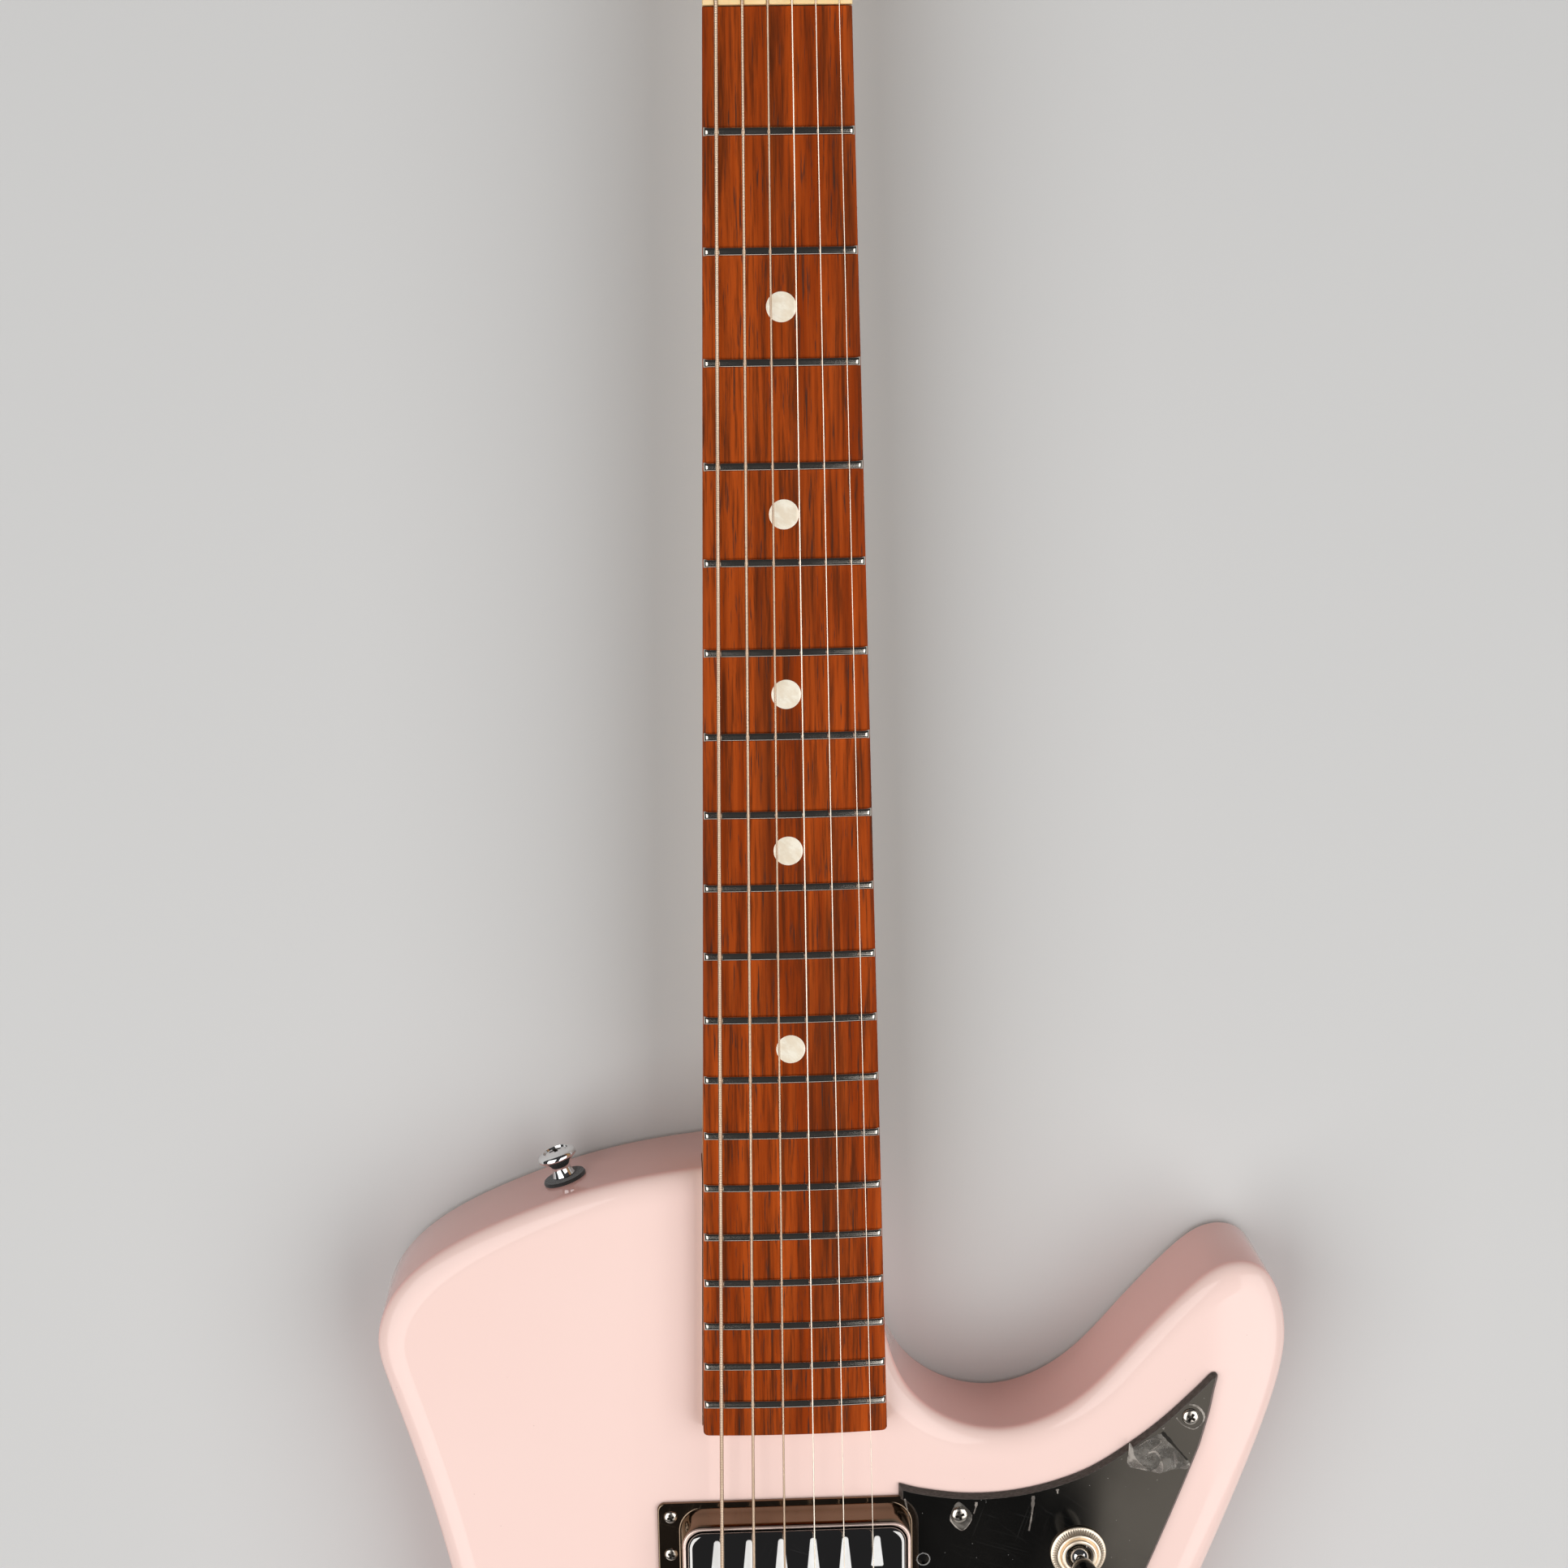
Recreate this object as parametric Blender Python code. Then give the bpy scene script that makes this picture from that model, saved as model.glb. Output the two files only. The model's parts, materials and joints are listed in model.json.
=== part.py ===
"""Six-string electric guitar with a bolted neck and two pickups, lying on its back.

Frame: +X to the treble side, +Y to the headstock, +Z out of the front, in metres.
The origin is on the flat back, under the bridge line, on the neck's centreline.
"""
import math

import bmesh
import bpy
import numpy as np
from mathutils import Matrix, Vector

GAP = 0.0003                    # clearance between pieces that touch or run in each other

# Strings, bass to treble
SCALE_LENGTH = 0.628
STRING_GAUGES = (0.00117, 0.00091, 0.00066, 0.00043, 0.00033, 0.00025)
BRIDGE_SPREAD = 0.0515          # outer string to outer string over the bridge
NUT_STRING_INSET = 0.00375      # nut's end to the outer string
NUT_LIFT = 0.0017               # string's underside above the board at the nut
BRIDGE_LIFT = 0.005             # the same at the bridge
WRAP_TURNS = 2.25               # turns on a tuner's post
WRAP_POINTS = 10                # points to a turn
WRAP_SPACE = 0.0005             # free space between turns
WRAP_HEIGHT = 0.0055            # first turn above the headstock's face

# Fingerboard, frets and nut
FRET_COUNT = 19
FRET_WIDTH = 0.0026
FRET_HEIGHT = 0.0012
NUT_WIDTH = 0.042
BOARD_END_WIDTH = 0.057
BOARD_THICKNESS = 0.006
BOARD_RADIUS = 0.305            # crown across the board
BOARD_OVERHANG = 0.0103         # board past the last fret
NUT_ADVANCE = 0.0012            # nut's front face ahead of the scale's end
NUT_THICKNESS = 0.005
NUT_SLOT_DEPTH = 0.0007

# Body
BODY_THICKNESS = 0.042
FRONT_ROUND = 0.0075
BACK_ROUND = 0.004
BODY_KNOTS = (
    (-0.028, 0.2823), (-0.058, 0.2773), (-0.088, 0.2674), (-0.11, 0.2563), (-0.1235, 0.2435),
    (-0.1287, 0.229), (-0.1253, 0.2125), (-0.1159, 0.181), (-0.108, 0.148), (-0.104, 0.112),
    (-0.112, 0.076), (-0.133, 0.038), (-0.152, 0.0), (-0.159, -0.042), (-0.143, -0.088),
    (-0.1, -0.116), (-0.045, -0.1245), (0.015, -0.1245), (0.078, -0.115), (0.128, -0.088),
    (0.15, -0.044), (0.147, 0.0), (0.131, 0.038), (0.117, 0.074), (0.1175, 0.108),
    (0.1295, 0.142), (0.1435, 0.1775), (0.1538, 0.21), (0.1546, 0.229), (0.1475, 0.2443),
    (0.1365, 0.2463), (0.125, 0.239), (0.1075, 0.2208), (0.089, 0.2022), (0.066, 0.1935),
    (0.045, 0.1996), (0.0332, 0.2131), (0.027, 0.236), (0.017, 0.264), (-0.002, 0.281),
)
KNOT_STEPS = 2                  # outline points to a span between knots

# Neck and its joint to the body
NECK_LIFT = 0.003               # neck's flat top above the body's front
NECK_DEPTH_NUT = 0.014
NECK_DEPTH_HEEL = 0.016
POCKET_DEPTH = 0.017
SHAFT_SQUARENESS = 2.2          # power of the shaft's section: 2 is an ellipse
HEEL_SQUARENESS = 10            # the same at the heel, nearly a rectangle
HEEL_RUNOUT = 0.008             # square heel past the body's edge
HEEL_BLEND = 0.036              # from square heel to round shaft
PLATE_WIDTH = 0.034
PLATE_LENGTH = 0.046
PLATE_THICKNESS = 0.0015
PLATE_X = -0.006
PLATE_SETBACK = 0.0387          # board's end to the plate's centre
NECK_SCREW_RADIUS = 0.0022
NECK_SCREW_HEAD = 0.004
NECK_SCREW_REACH = 0.012        # into the heel
NECK_SCREW_INSET = 0.0065       # from the plate's edges
ROD_RADIUS = 0.0024
ROD_NUT_RADIUS = 0.003
ROD_NUT_LENGTH = 0.012
ROD_SLOT_DEPTH = 0.009
ROD_INSET = 0.008               # from the heel's end
ROD_REACH = 0.012               # past the nut, under its cover

# Headstock
HEAD_TILT = 6.0                 # degrees down from the neck's plane
HEAD_LENGTH = 0.172
HEAD_THICKNESS = 0.014
HEAD_EDGE = 0.001
HEAD_FLARE = 0.03               # length over which it widens
HEAD_MARGIN = 0.0115            # post's axis to the side
HEAD_SHOULDER = 0.0003
TUCK_LENGTH = 0.0112            # shaft's end past the nut, under the headstock's face
TUCK_DEPTH = 0.0098
POST_FIRST = 0.038              # nut's back to the first pair of posts
HEAD_TIP = 0.05                 # last pair of posts to the headstock's end
POST_X = 0.024
POST_SPREAD = 0.0015            # further out at each pair
COVER_PLATE_LENGTH = 0.034
COVER_PLATE_WIDTH = 0.024
COVER_PLATE_THICKNESS = 0.002
COVER_PLATE_START = 0.0015      # from the nut's back

# Tuners
POST_RADIUS = 0.003
POST_HEIGHT = 0.011
BUSH_WALL = 0.0014
BUSH_RISE = 0.0008
GEAR_RADIUS = 0.0045
GEAR_THICKNESS = 0.0036
WORM_RADIUS = 0.0022
WORM_LENGTH = 0.0085
HOUSING_WALL = 0.0013
KEY_SHAFT_RADIUS = 0.0015
KEY_STANDOFF = 0.006            # button past the headstock's side
BUTTON_LENGTH = 0.013
BUTTON_WIDTH = 0.018
BUTTON_THICKNESS = 0.0058

# Pickups: a cover on its coil, in a raised ring with screw flanges
NECK_PICKUP_Y = 0.1483
BRIDGE_PICKUP_Y = 0.034
COVER_WIDTH = 0.0686
COVER_LENGTH = 0.038
COVER_HEIGHT = 0.02
COVER_WALL = 0.0008
COVER_CORNER = 0.005
COVER_EDGE = 0.0015
COVER_DROP = 0.0024             # cover's top below the strings
COIL_FLANGE = 0.0024
COIL_WAIST = 0.003
RING_HEIGHT = 0.009
RING_BASE = 0.0012
RIM_SIDE = 0.0011
RIM_END = 0.0022
RING_RUN_SIDE = 0.0011
RING_RUN_END = 0.00275
FLANGE_SIDE = 0.0066
FLANGE_END = 0.0012
RING_CORNER = 0.007
PICKUP_ROOM = 0.002             # space under and around a pickup in the body
SLOT_TOP_WIDTH = 0.0022         # tapered windows in the cover
SLOT_BOTTOM_WIDTH = 0.0066
SLOT_PITCH = 0.01
SLOT_LENGTH = 0.024
OUTER_SLOT_LENGTH = 0.0105
SLOT_SETBACK = 0.0022           # from the cover's headstock edge

# Pickguard and what it carries
GUARD_THICKNESS = 0.0023
GUARD_BEVEL = 0.0012
GUARD_MARGIN = 0.0187           # inside the body's edge
GUARD_KEEP = 0.985              # share of the margin below which a folded-over point is dropped
GUARD_RING_SPACE = 0.0006
GUARD_CORNER = (0.0326, 0.1786)
GUARD_BEND = (0.0434, 0.176)
GUARD_START_X = 0.056           # where its edge joins the cutaway's curve
GUARD_END_Y = -0.066            # where its edge leaves the lower bout's curve
GUARD_TAIL = (
    (0.099, -0.085), (0.08, -0.089), (0.064, -0.078), (0.0565, -0.052),
    (0.0535, -0.022), (0.051, 0.0), (0.0445, 0.011),
)
ACCESS_HOLE_RADIUS = 0.0018
ACCESS_HOLE_SHIFT = 0.0045
SWITCH_AT = (0.0892, 0.1535)
VOLUME_AT = (0.082, 0.03)
TONE_AT = (0.099, -0.022)
JACK_AT = (0.087, -0.064)
WAIST_AT = (0.073, 0.092)       # bend of the control cavity
CAVITY_RADIUS = 0.0165
CAVITY_FLOOR = 0.006            # wood left at the back
CHANNEL_RADIUS = 0.004
CHANNEL_DEPTH = 0.02

# Selector switch
SWITCH_NUT_RADIUS = 0.0091
SWITCH_NUT_HEIGHT = 0.0038
SWITCH_BUSH_RADIUS = 0.0056
SWITCH_BALL_RADIUS = 0.0036
SWITCH_PIVOT_RISE = 0.0022      # ball's centre above the guard
SWITCH_ROD_RADIUS = 0.0016
SWITCH_ROD_HEIGHT = 0.015       # above the pivot
SWITCH_STUB = 0.009             # below the pivot
SWITCH_BOX_WIDTH = 0.013
SWITCH_BOX_LENGTH = 0.027
SWITCH_BOX_DEPTH = 0.024
TIP_RADIUS = 0.0041
TIP_LENGTH = 0.0155
TIP_SOCKET = 0.008

# Pots, knobs and jack
POT_RADIUS = 0.012
POT_HEIGHT = 0.011
THREAD_RADIUS = 0.00475
THREAD_RISE = 0.0035            # above the guard
SHAFT_RADIUS = 0.0031
SHAFT_DEPTH = 0.008             # below the guard's back
PANEL_NUT_RADIUS = 0.0066
PANEL_NUT_HEIGHT = 0.002
KNOB_RADIUS = 0.011
KNOB_TOP_RADIUS = 0.0088
KNOB_HEIGHT = 0.0155
KNOB_SKIRT = 0.003
KNOB_LIFT = 0.0008              # knob's skirt above the guard
KNOB_ROOM = 0.0008              # round the panel nut
JACK_BORE = 0.0033
JACK_BARREL_RADIUS = 0.0062
JACK_DEPTH = 0.025
JACK_FLANGE = 0.0085

# Bridge and tailpiece
SADDLE_HEIGHT = 0.0035
SADDLE_WIDTH = 0.0074
SADDLE_BASE = 0.0026
SADDLE_TOP = 0.0004
SADDLE_STEP = 0.0002
SETBACK_BASS = 0.0032
SETBACK_TREBLE = 0.0006
BRIDGE_BAR_WIDTH = 0.013
BRIDGE_BAR_HEIGHT = 0.0065
BRIDGE_STUD_OUT = 0.0113        # outer string to the stud
BAR_END = 0.0055                # past the stud
WHEEL_RADIUS = 0.007
WHEEL_THICKNESS = 0.0016
STUD_RADIUS = 0.0022
ANCHOR_RADIUS = 0.0035
ANCHOR_DEPTH = 0.018
TAIL_Y = -0.042
TAIL_WIDTH = 0.014
TAIL_HEIGHT = 0.009
TAIL_STANDOFF = 0.0035
TAIL_CORNER = 0.0035
TAIL_STUD_OUT = 0.0155
TAIL_END = 0.0065
TAIL_TAPER = 0.7
TAIL_NECK_RADIUS = 0.003
TAIL_HEAD_RADIUS = 0.0056
TAIL_HEAD_HEIGHT = 0.003
STRING_HOLE_SPACE = 0.0004

# Strap buttons, axis square to the body's side
STRAP_X = -0.07
STRAP_END_X = 0.0
STRAP_SCREW_RADIUS = 0.0018
STRAP_SCREW_LENGTH = 0.02
STRAP_BASE_RADIUS = 0.0057
STRAP_WAIST_RADIUS = 0.0031
STRAP_HEIGHT = 0.0098

# Places that follow from the sizes above
NECK_TOP = BODY_THICKNESS + NECK_LIFT
BOARD_TOP = NECK_TOP + GAP + BOARD_THICKNESS
BOARD_NUT_Y = SCALE_LENGTH - NUT_ADVANCE
BOARD_END_Y = SCALE_LENGTH * 2 ** (-FRET_COUNT / 12) - BOARD_OVERHANG
NUT_FRONT = BOARD_NUT_Y + GAP
NUT_BACK = NUT_FRONT + NUT_THICKNESS
GUARD_BOTTOM = BODY_THICKNESS + GAP
GUARD_TOP = GUARD_BOTTOM + GUARD_THICKNESS
STRING_COUNT = len(STRING_GAUGES)
THICKEST = max(STRING_GAUGES)
HEAD_TURN = Matrix.Rotation(-math.radians(HEAD_TILT), 4, 'X')
HEAD_FRAME = Matrix.Translation((0, NUT_BACK, NECK_TOP)) @ HEAD_TURN
POST_STEP = (HEAD_LENGTH - POST_FIRST - HEAD_TIP) / (STRING_COUNT / 2 - 1)
GEAR_Z = -(HEAD_THICKNESS + GAP + HOUSING_WALL + GAP + max(WORM_RADIUS, GEAR_THICKNESS / 2))
WORM_Y = GEAR_RADIUS + GAP + WORM_RADIUS
RING_OPEN = (COVER_WIDTH + 2 * GAP, COVER_LENGTH + 2 * GAP)
RING_TOP = (RING_OPEN[0] + 2 * RIM_SIDE, RING_OPEN[1] + 2 * RIM_END)
RING_FOOT = (RING_TOP[0] + 2 * RING_RUN_SIDE, RING_TOP[1] + 2 * RING_RUN_END)
RING_FLANGE = (RING_FOOT[0] + 2 * FLANGE_SIDE, RING_FOOT[1] + 2 * FLANGE_END)
GUARD_EDGE_X = RING_FOOT[0] / 2 + GUARD_RING_SPACE
BRIDGE_STUD_X = BRIDGE_SPREAD / 2 + BRIDGE_STUD_OUT
TAIL_STUD_X = BRIDGE_SPREAD / 2 + TAIL_STUD_OUT
SWITCH_PIVOT_Z = GUARD_TOP + SWITCH_PIVOT_RISE
OVER = 0.001                    # how far a cutter reaches past a face
ROUND_SIDES = 16                # sides of knobs, studs and their bores
SMALL_SIDES = 12                # sides of screws, posts and their bores
STRING_ROUNDING = 1             # curve rounding that gives a string six or eight sides


# Curves and outlines

def closed_spline(knots, steps):
    """Smooth closed curve through the knots: a periodic cubic with steps points to a span."""
    knots = np.array(knots, float)
    count = len(knots)
    spans = np.sqrt(np.linalg.norm(np.roll(knots, -1, 0) - knots, axis=1))
    bends = np.zeros((count, count))
    pulls = np.zeros((count, 2))
    for i in range(count):
        before, after = spans[i - 1], spans[i]
        nxt = (i + 1) % count
        bends[i, i - 1] += before
        bends[i, i] += 2 * (before + after)
        bends[i, nxt] += after
        pulls[i] = 6 * ((knots[nxt] - knots[i]) / after - (knots[i] - knots[i - 1]) / before)
    curvature = np.linalg.solve(bends, pulls)
    points = []
    for i in range(count):
        nxt = (i + 1) % count
        for step in range(steps):
            b = step / steps
            a = 1 - b
            bow = (a ** 3 - a) * curvature[i] + (b ** 3 - b) * curvature[nxt]
            points.append(a * knots[i] + b * knots[nxt] + bow * spans[i] ** 2 / 6)
    return [(float(x), float(y)) for x, y in points]


def open_curve(knots, steps):
    """Catmull-Rom curve through the knots, with both ends kept."""
    knots = [Vector(knot) for knot in knots]
    padded = [2 * knots[0] - knots[1]] + knots + [2 * knots[-1] - knots[-2]]
    points = []
    for p0, p1, p2, p3 in zip(padded, padded[1:], padded[2:], padded[3:]):
        for step in range(steps):
            t = step / steps
            points.append(tuple(0.5 * (2 * p1 + (p2 - p0) * t + (2 * p0 - 5 * p1 + 4 * p2 - p3) * t * t
                                       + (3 * p1 - p0 - 3 * p2 + p3) * t ** 3)))
    return points + [tuple(knots[-1])]


def outward_normals(outline):
    """Unit normals of an anticlockwise outline, lengthened at corners to keep an offset's width."""
    corners = [Vector(point) for point in outline]
    normals = []
    for i, corner in enumerate(corners):
        into = (corner - corners[i - 1]).normalized()
        out = (corners[(i + 1) % len(corners)] - corner).normalized()
        mean = (Vector((into.y, -into.x)) + Vector((out.y, -out.x))).normalized()
        normals.append(mean / max(mean.dot(Vector((into.y, -into.x))), 0.5))
    return normals


def inset(outline, distance):
    """The outline moved inward by a distance."""
    return [(x - n.x * distance, y - n.y * distance) for (x, y), n in zip(outline, outward_normals(outline))]


def circle(centre, radius, sides):
    turns = [2 * math.pi * i / sides for i in range(sides)]
    return [(centre[0] + radius * math.cos(a), centre[1] + radius * math.sin(a)) for a in turns]


def rounded_rectangle(width, length, corner, steps=3, centre=(0, 0)):
    """Anticlockwise rectangle with round corners, with steps + 1 points to a corner."""
    points = []
    for number, (sx, sy) in enumerate(((1, 1), (-1, 1), (-1, -1), (1, -1))):
        for step in range(steps + 1):
            angle = math.pi / 2 * (number + step / steps)
            points.append((centre[0] + sx * (width / 2 - corner) + corner * math.cos(angle),
                           centre[1] + sy * (length / 2 - corner) + corner * math.sin(angle)))
    return points


def capsule(start, end, radius, steps=5):
    """Anticlockwise outline of a slot with round ends."""
    start, end = Vector(start), Vector(end)
    heading = math.atan2(end.y - start.y, end.x - start.x)
    points = []
    for centre, turn in ((end, heading - math.pi / 2), (start, heading + math.pi / 2)):
        for step in range(steps + 1):
            angle = turn + math.pi * step / steps
            points.append((centre.x + radius * math.cos(angle), centre.y + radius * math.sin(angle)))
    return points


def smooth(t):
    t = min(max(t, 0.0), 1.0)
    return t * t * (3 - 2 * t)


# Solids

def loft(loops, ring=False):
    """Closed solid through loops of equally many points: capped at its ends, or joined end to start."""
    mesh = bmesh.new()
    rows = [[mesh.verts.new(point) for point in loop] for loop in loops]
    pairs = list(zip(rows, rows[1:]))
    if ring:
        pairs.append((rows[-1], rows[0]))
    else:
        mesh.faces.new(list(reversed(rows[0])))
        mesh.faces.new(rows[-1])
    for low, high in pairs:
        for i in range(len(low)):
            j = (i + 1) % len(low)
            mesh.faces.new((low[i], low[j], high[j], high[i]))
    bmesh.ops.recalc_face_normals(mesh, faces=mesh.faces)
    return mesh


def plate(outline, steps, ring=False):
    """Solid over an outline, from (inset, height) steps."""
    return loft([[(x, y, z) for x, y in inset(outline, edge)] for edge, z in steps], ring)


def prism(outline, low, high):
    return plate(outline, ((0, low), (0, high)))


def turned(profile, sides=ROUND_SIDES, ring=False):
    """Solid of revolution about Z, from (radius, height) steps."""
    return loft([[(x, y, z) for x, y in circle((0, 0), radius, sides)] for radius, z in profile], ring)


def lying(mesh):
    """The same solid with its Z axis turned to +Y."""
    bmesh.ops.rotate(mesh, verts=mesh.verts, cent=(0, 0, 0), matrix=Matrix.Rotation(-math.pi / 2, 3, 'X'))
    return mesh


# Objects

def material(name, colour, roughness, metallic=0.0):
    made = bpy.data.materials.new(name)
    made.use_nodes = True
    shader = made.node_tree.nodes["Principled BSDF"]
    shader.inputs["Base Color"].default_value = (*colour, 1.0)
    shader.inputs["Roughness"].default_value = roughness
    shader.inputs["Metallic"].default_value = metallic
    return made


def add(name, solid, finish, location=(0, 0, 0), parent=None, rotation=(0, 0, 0)):
    """A named sub-part from a bmesh."""
    mesh = bpy.data.meshes.new(name)
    solid.to_mesh(mesh)
    solid.free()
    mesh.materials.append(finish)
    mesh.shade_smooth()
    mesh.set_sharp_from_angle(angle=math.radians(32))
    made = bpy.data.objects.new(name, mesh)
    made.location = location
    made.rotation_euler = rotation
    made.parent = parent
    bpy.context.collection.objects.link(made)
    return made


def shape(target, solid, operation, location=(0, 0, 0), parent=None, rotation=(0, 0, 0)):
    """Cut a solid from a sub-part, or join it on, as a Boolean modifier with a hidden helper."""
    number = len(target.modifiers) + 1
    mesh = bpy.data.meshes.new(f"{target.name}_helper_{number}")
    solid.to_mesh(mesh)
    solid.free()
    helper = bpy.data.objects.new(mesh.name, mesh)
    helper.location = location
    helper.rotation_euler = rotation
    helper.parent = parent
    helper.hide_render = True
    helper.display_type = 'WIRE'
    bpy.context.collection.objects.link(helper)
    step = target.modifiers.new(f"shape_{number}", 'BOOLEAN')
    step.operation = operation
    step.solver = 'EXACT'
    step.object = helper


def cut(target, solid, **placing):
    shape(target, solid, 'DIFFERENCE', **placing)


def join(target, solid, **placing):
    shape(target, solid, 'UNION', **placing)


# Shared geometry of the strings and the board

def board_width(y):
    share = (BOARD_NUT_Y - y) / (BOARD_NUT_Y - BOARD_END_Y)
    return NUT_WIDTH + (BOARD_END_WIDTH - NUT_WIDTH) * share


def crown(x):
    """How far the board's top falls from its middle to x."""
    return BOARD_RADIUS - math.sqrt(BOARD_RADIUS ** 2 - x * x)


def string_share(number):
    return number / (STRING_COUNT - 1) - 0.5


def label(number):
    """Players count strings from the treble side."""
    return STRING_COUNT - number


def string_x_nut(number):
    return string_share(number) * (NUT_WIDTH - 2 * NUT_STRING_INSET)


def string_x_bridge(number):
    return string_share(number) * BRIDGE_SPREAD


def string_under_nut(number):
    return BOARD_TOP - crown(string_x_nut(number)) + NUT_LIFT


def string_under_bridge(number):
    return BOARD_TOP - crown(string_x_bridge(number)) + BRIDGE_LIFT


def setback(number):
    return SETBACK_BASS + (SETBACK_TREBLE - SETBACK_BASS) * number / (STRING_COUNT - 1)


def cover_top(y):
    """Height of a pickup cover's top, under the lower outer string."""
    share = y / SCALE_LENGTH
    return string_under_bridge(0) + (string_under_nut(0) - string_under_bridge(0)) * share - COVER_DROP


def post_place(number):
    """Headstock position of a string's post: the outer strings go to the nearest pair."""
    side = -1 if number < STRING_COUNT / 2 else 1
    pair = min(number, STRING_COUNT - 1 - number)
    return side, side * (POST_X + POST_SPREAD * pair), POST_FIRST + POST_STEP * pair


def body_outline():
    return closed_spline(BODY_KNOTS, KNOT_STEPS)


def side_point(outline, x, top):
    """Point of the outline at x on its headstock or tail side, with that side's outward normal."""
    for start, end in zip(outline, outline[1:] + outline[:1]):
        across = (start[0] - x) * (end[0] - x) <= 0
        if across and (start[1] > SCALE_LENGTH / 3) == top:
            run = Vector(end) - Vector(start)
            share = (x - start[0]) / run.x
            return Vector(start) + share * run, Vector((run.y, -run.x)).normalized()
    raise ValueError("the outline has no side at that place")


def strap_places(outline):
    return side_point(outline, STRAP_X, True), side_point(outline, STRAP_END_X, False)


def neck_screw_places():
    across = PLATE_WIDTH / 2 - NECK_SCREW_INSET
    along = PLATE_LENGTH / 2 - NECK_SCREW_INSET
    centre_y = BOARD_END_Y + PLATE_SETBACK
    return [(PLATE_X + sx * across, centre_y + sy * along) for sy in (1, -1) for sx in (-1, 1)]


# Body

def make_body(outline, finish):
    quarter = [math.pi / 2 * i / 4 for i in range(5)]
    back = [(BACK_ROUND * (1 - math.sin(a)), BACK_ROUND * (1 - math.cos(a))) for a in quarter[::2]]
    spring = BODY_THICKNESS - FRONT_ROUND
    front = [(FRONT_ROUND * (1 - math.cos(a)), spring + FRONT_ROUND * math.sin(a)) for a in quarter]
    body = add("body", plate(outline, back + front), finish)
    over = BODY_THICKNESS + OVER
    far = max(y for _, y in outline) + HEEL_RUNOUT
    pocket = [(side * (board_width(y) / 2 + GAP), y) for side, y in
              ((-1, BOARD_END_Y - GAP), (1, BOARD_END_Y - GAP), (1, far), (-1, far))]
    cut(body, prism(pocket, BODY_THICKNESS - POCKET_DEPTH, over))
    for y in (NECK_PICKUP_Y, BRIDGE_PICKUP_Y):
        size = (COVER_WIDTH + PICKUP_ROOM, COVER_LENGTH + PICKUP_ROOM)
        room = rounded_rectangle(*size, COVER_CORNER, centre=(0, y))
        cut(body, prism(room, cover_top(y) - COVER_HEIGHT - PICKUP_ROOM, over))
    bends = (SWITCH_AT, WAIST_AT, VOLUME_AT, TONE_AT, JACK_AT)
    for start, end in zip(bends, bends[1:]):
        cut(body, prism(capsule(start, end, CAVITY_RADIUS), CAVITY_FLOOR, over))
    for y in (NECK_PICKUP_Y, BRIDGE_PICKUP_Y):
        channel = capsule((COVER_WIDTH / 4, y), (WAIST_AT[0], (y + WAIST_AT[1]) / 2), CHANNEL_RADIUS, 4)
        cut(body, prism(channel, BODY_THICKNESS - CHANNEL_DEPTH, over))
    for side in (-1, 1):
        for x, y in ((BRIDGE_STUD_X, 0), (TAIL_STUD_X, TAIL_Y)):
            bore = circle((side * x, y), ANCHOR_RADIUS + GAP, ROUND_SIDES)
            cut(body, prism(bore, BODY_THICKNESS - ANCHOR_DEPTH - GAP, over))
    for place in neck_screw_places():
        bore = circle(place, NECK_SCREW_RADIUS + GAP, SMALL_SIDES)
        cut(body, prism(bore, -OVER, BODY_THICKNESS - POCKET_DEPTH + OVER))
    recess = rounded_rectangle(PLATE_WIDTH + 2 * GAP, PLATE_LENGTH + 2 * GAP, PLATE_THICKNESS * 3, 3,
                               (PLATE_X, BOARD_END_Y + PLATE_SETBACK))
    cut(body, prism(recess, -OVER, PLATE_THICKNESS + 2 * GAP))
    for point, normal in strap_places(outline):
        radius = STRAP_SCREW_RADIUS + GAP
        bore = turned(((radius, -STRAP_SCREW_LENGTH - GAP), (radius, OVER)), SMALL_SIDES)
        cut(body, bore, location=(*point, BODY_THICKNESS / 2), rotation=axis_rotation(normal))
    return body


def axis_rotation(normal):
    """Turn that lays local Z along a normal in the body's plane."""
    return Vector((normal.x, normal.y, 0)).to_track_quat('Z', 'X').to_euler()


# Neck, headstock, fingerboard and nut

def neck_section(y, top, depth, squareness):
    """Flat-topped cross-section: round for the shaft, nearly square for the heel."""
    half = board_width(y) / 2
    points = []
    for step in range(11):
        angle = math.pi * step / 10
        across = math.copysign(abs(math.cos(angle)) ** (2 / squareness), math.cos(angle))
        points.append((half * across, y, top - depth * abs(math.sin(angle)) ** (2 / squareness)))
    return points


def head_outline():
    """Paddle that flares from the nut, follows the posts and ends in a low arch."""
    start = NUT_WIDTH / 2 + HEAD_SHOULDER
    last = POST_FIRST + 2 * POST_STEP

    def side_x(y):
        return POST_X + POST_SPREAD * (y - POST_FIRST) / POST_STEP + HEAD_MARGIN

    flare = side_x(HEAD_FLARE) - start
    right = [(start + flare * smooth(step / 5), HEAD_FLARE * step / 5) for step in range(6)]
    for step in range(6):
        angle = math.pi / 2 * step / 6
        right.append((side_x(last) * math.cos(angle) ** 0.5, last + (HEAD_LENGTH - last) * math.sin(angle)))
    left = [(-x, y) for x, y in reversed(right)]
    return right + [(0, HEAD_LENGTH)] + left


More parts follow.
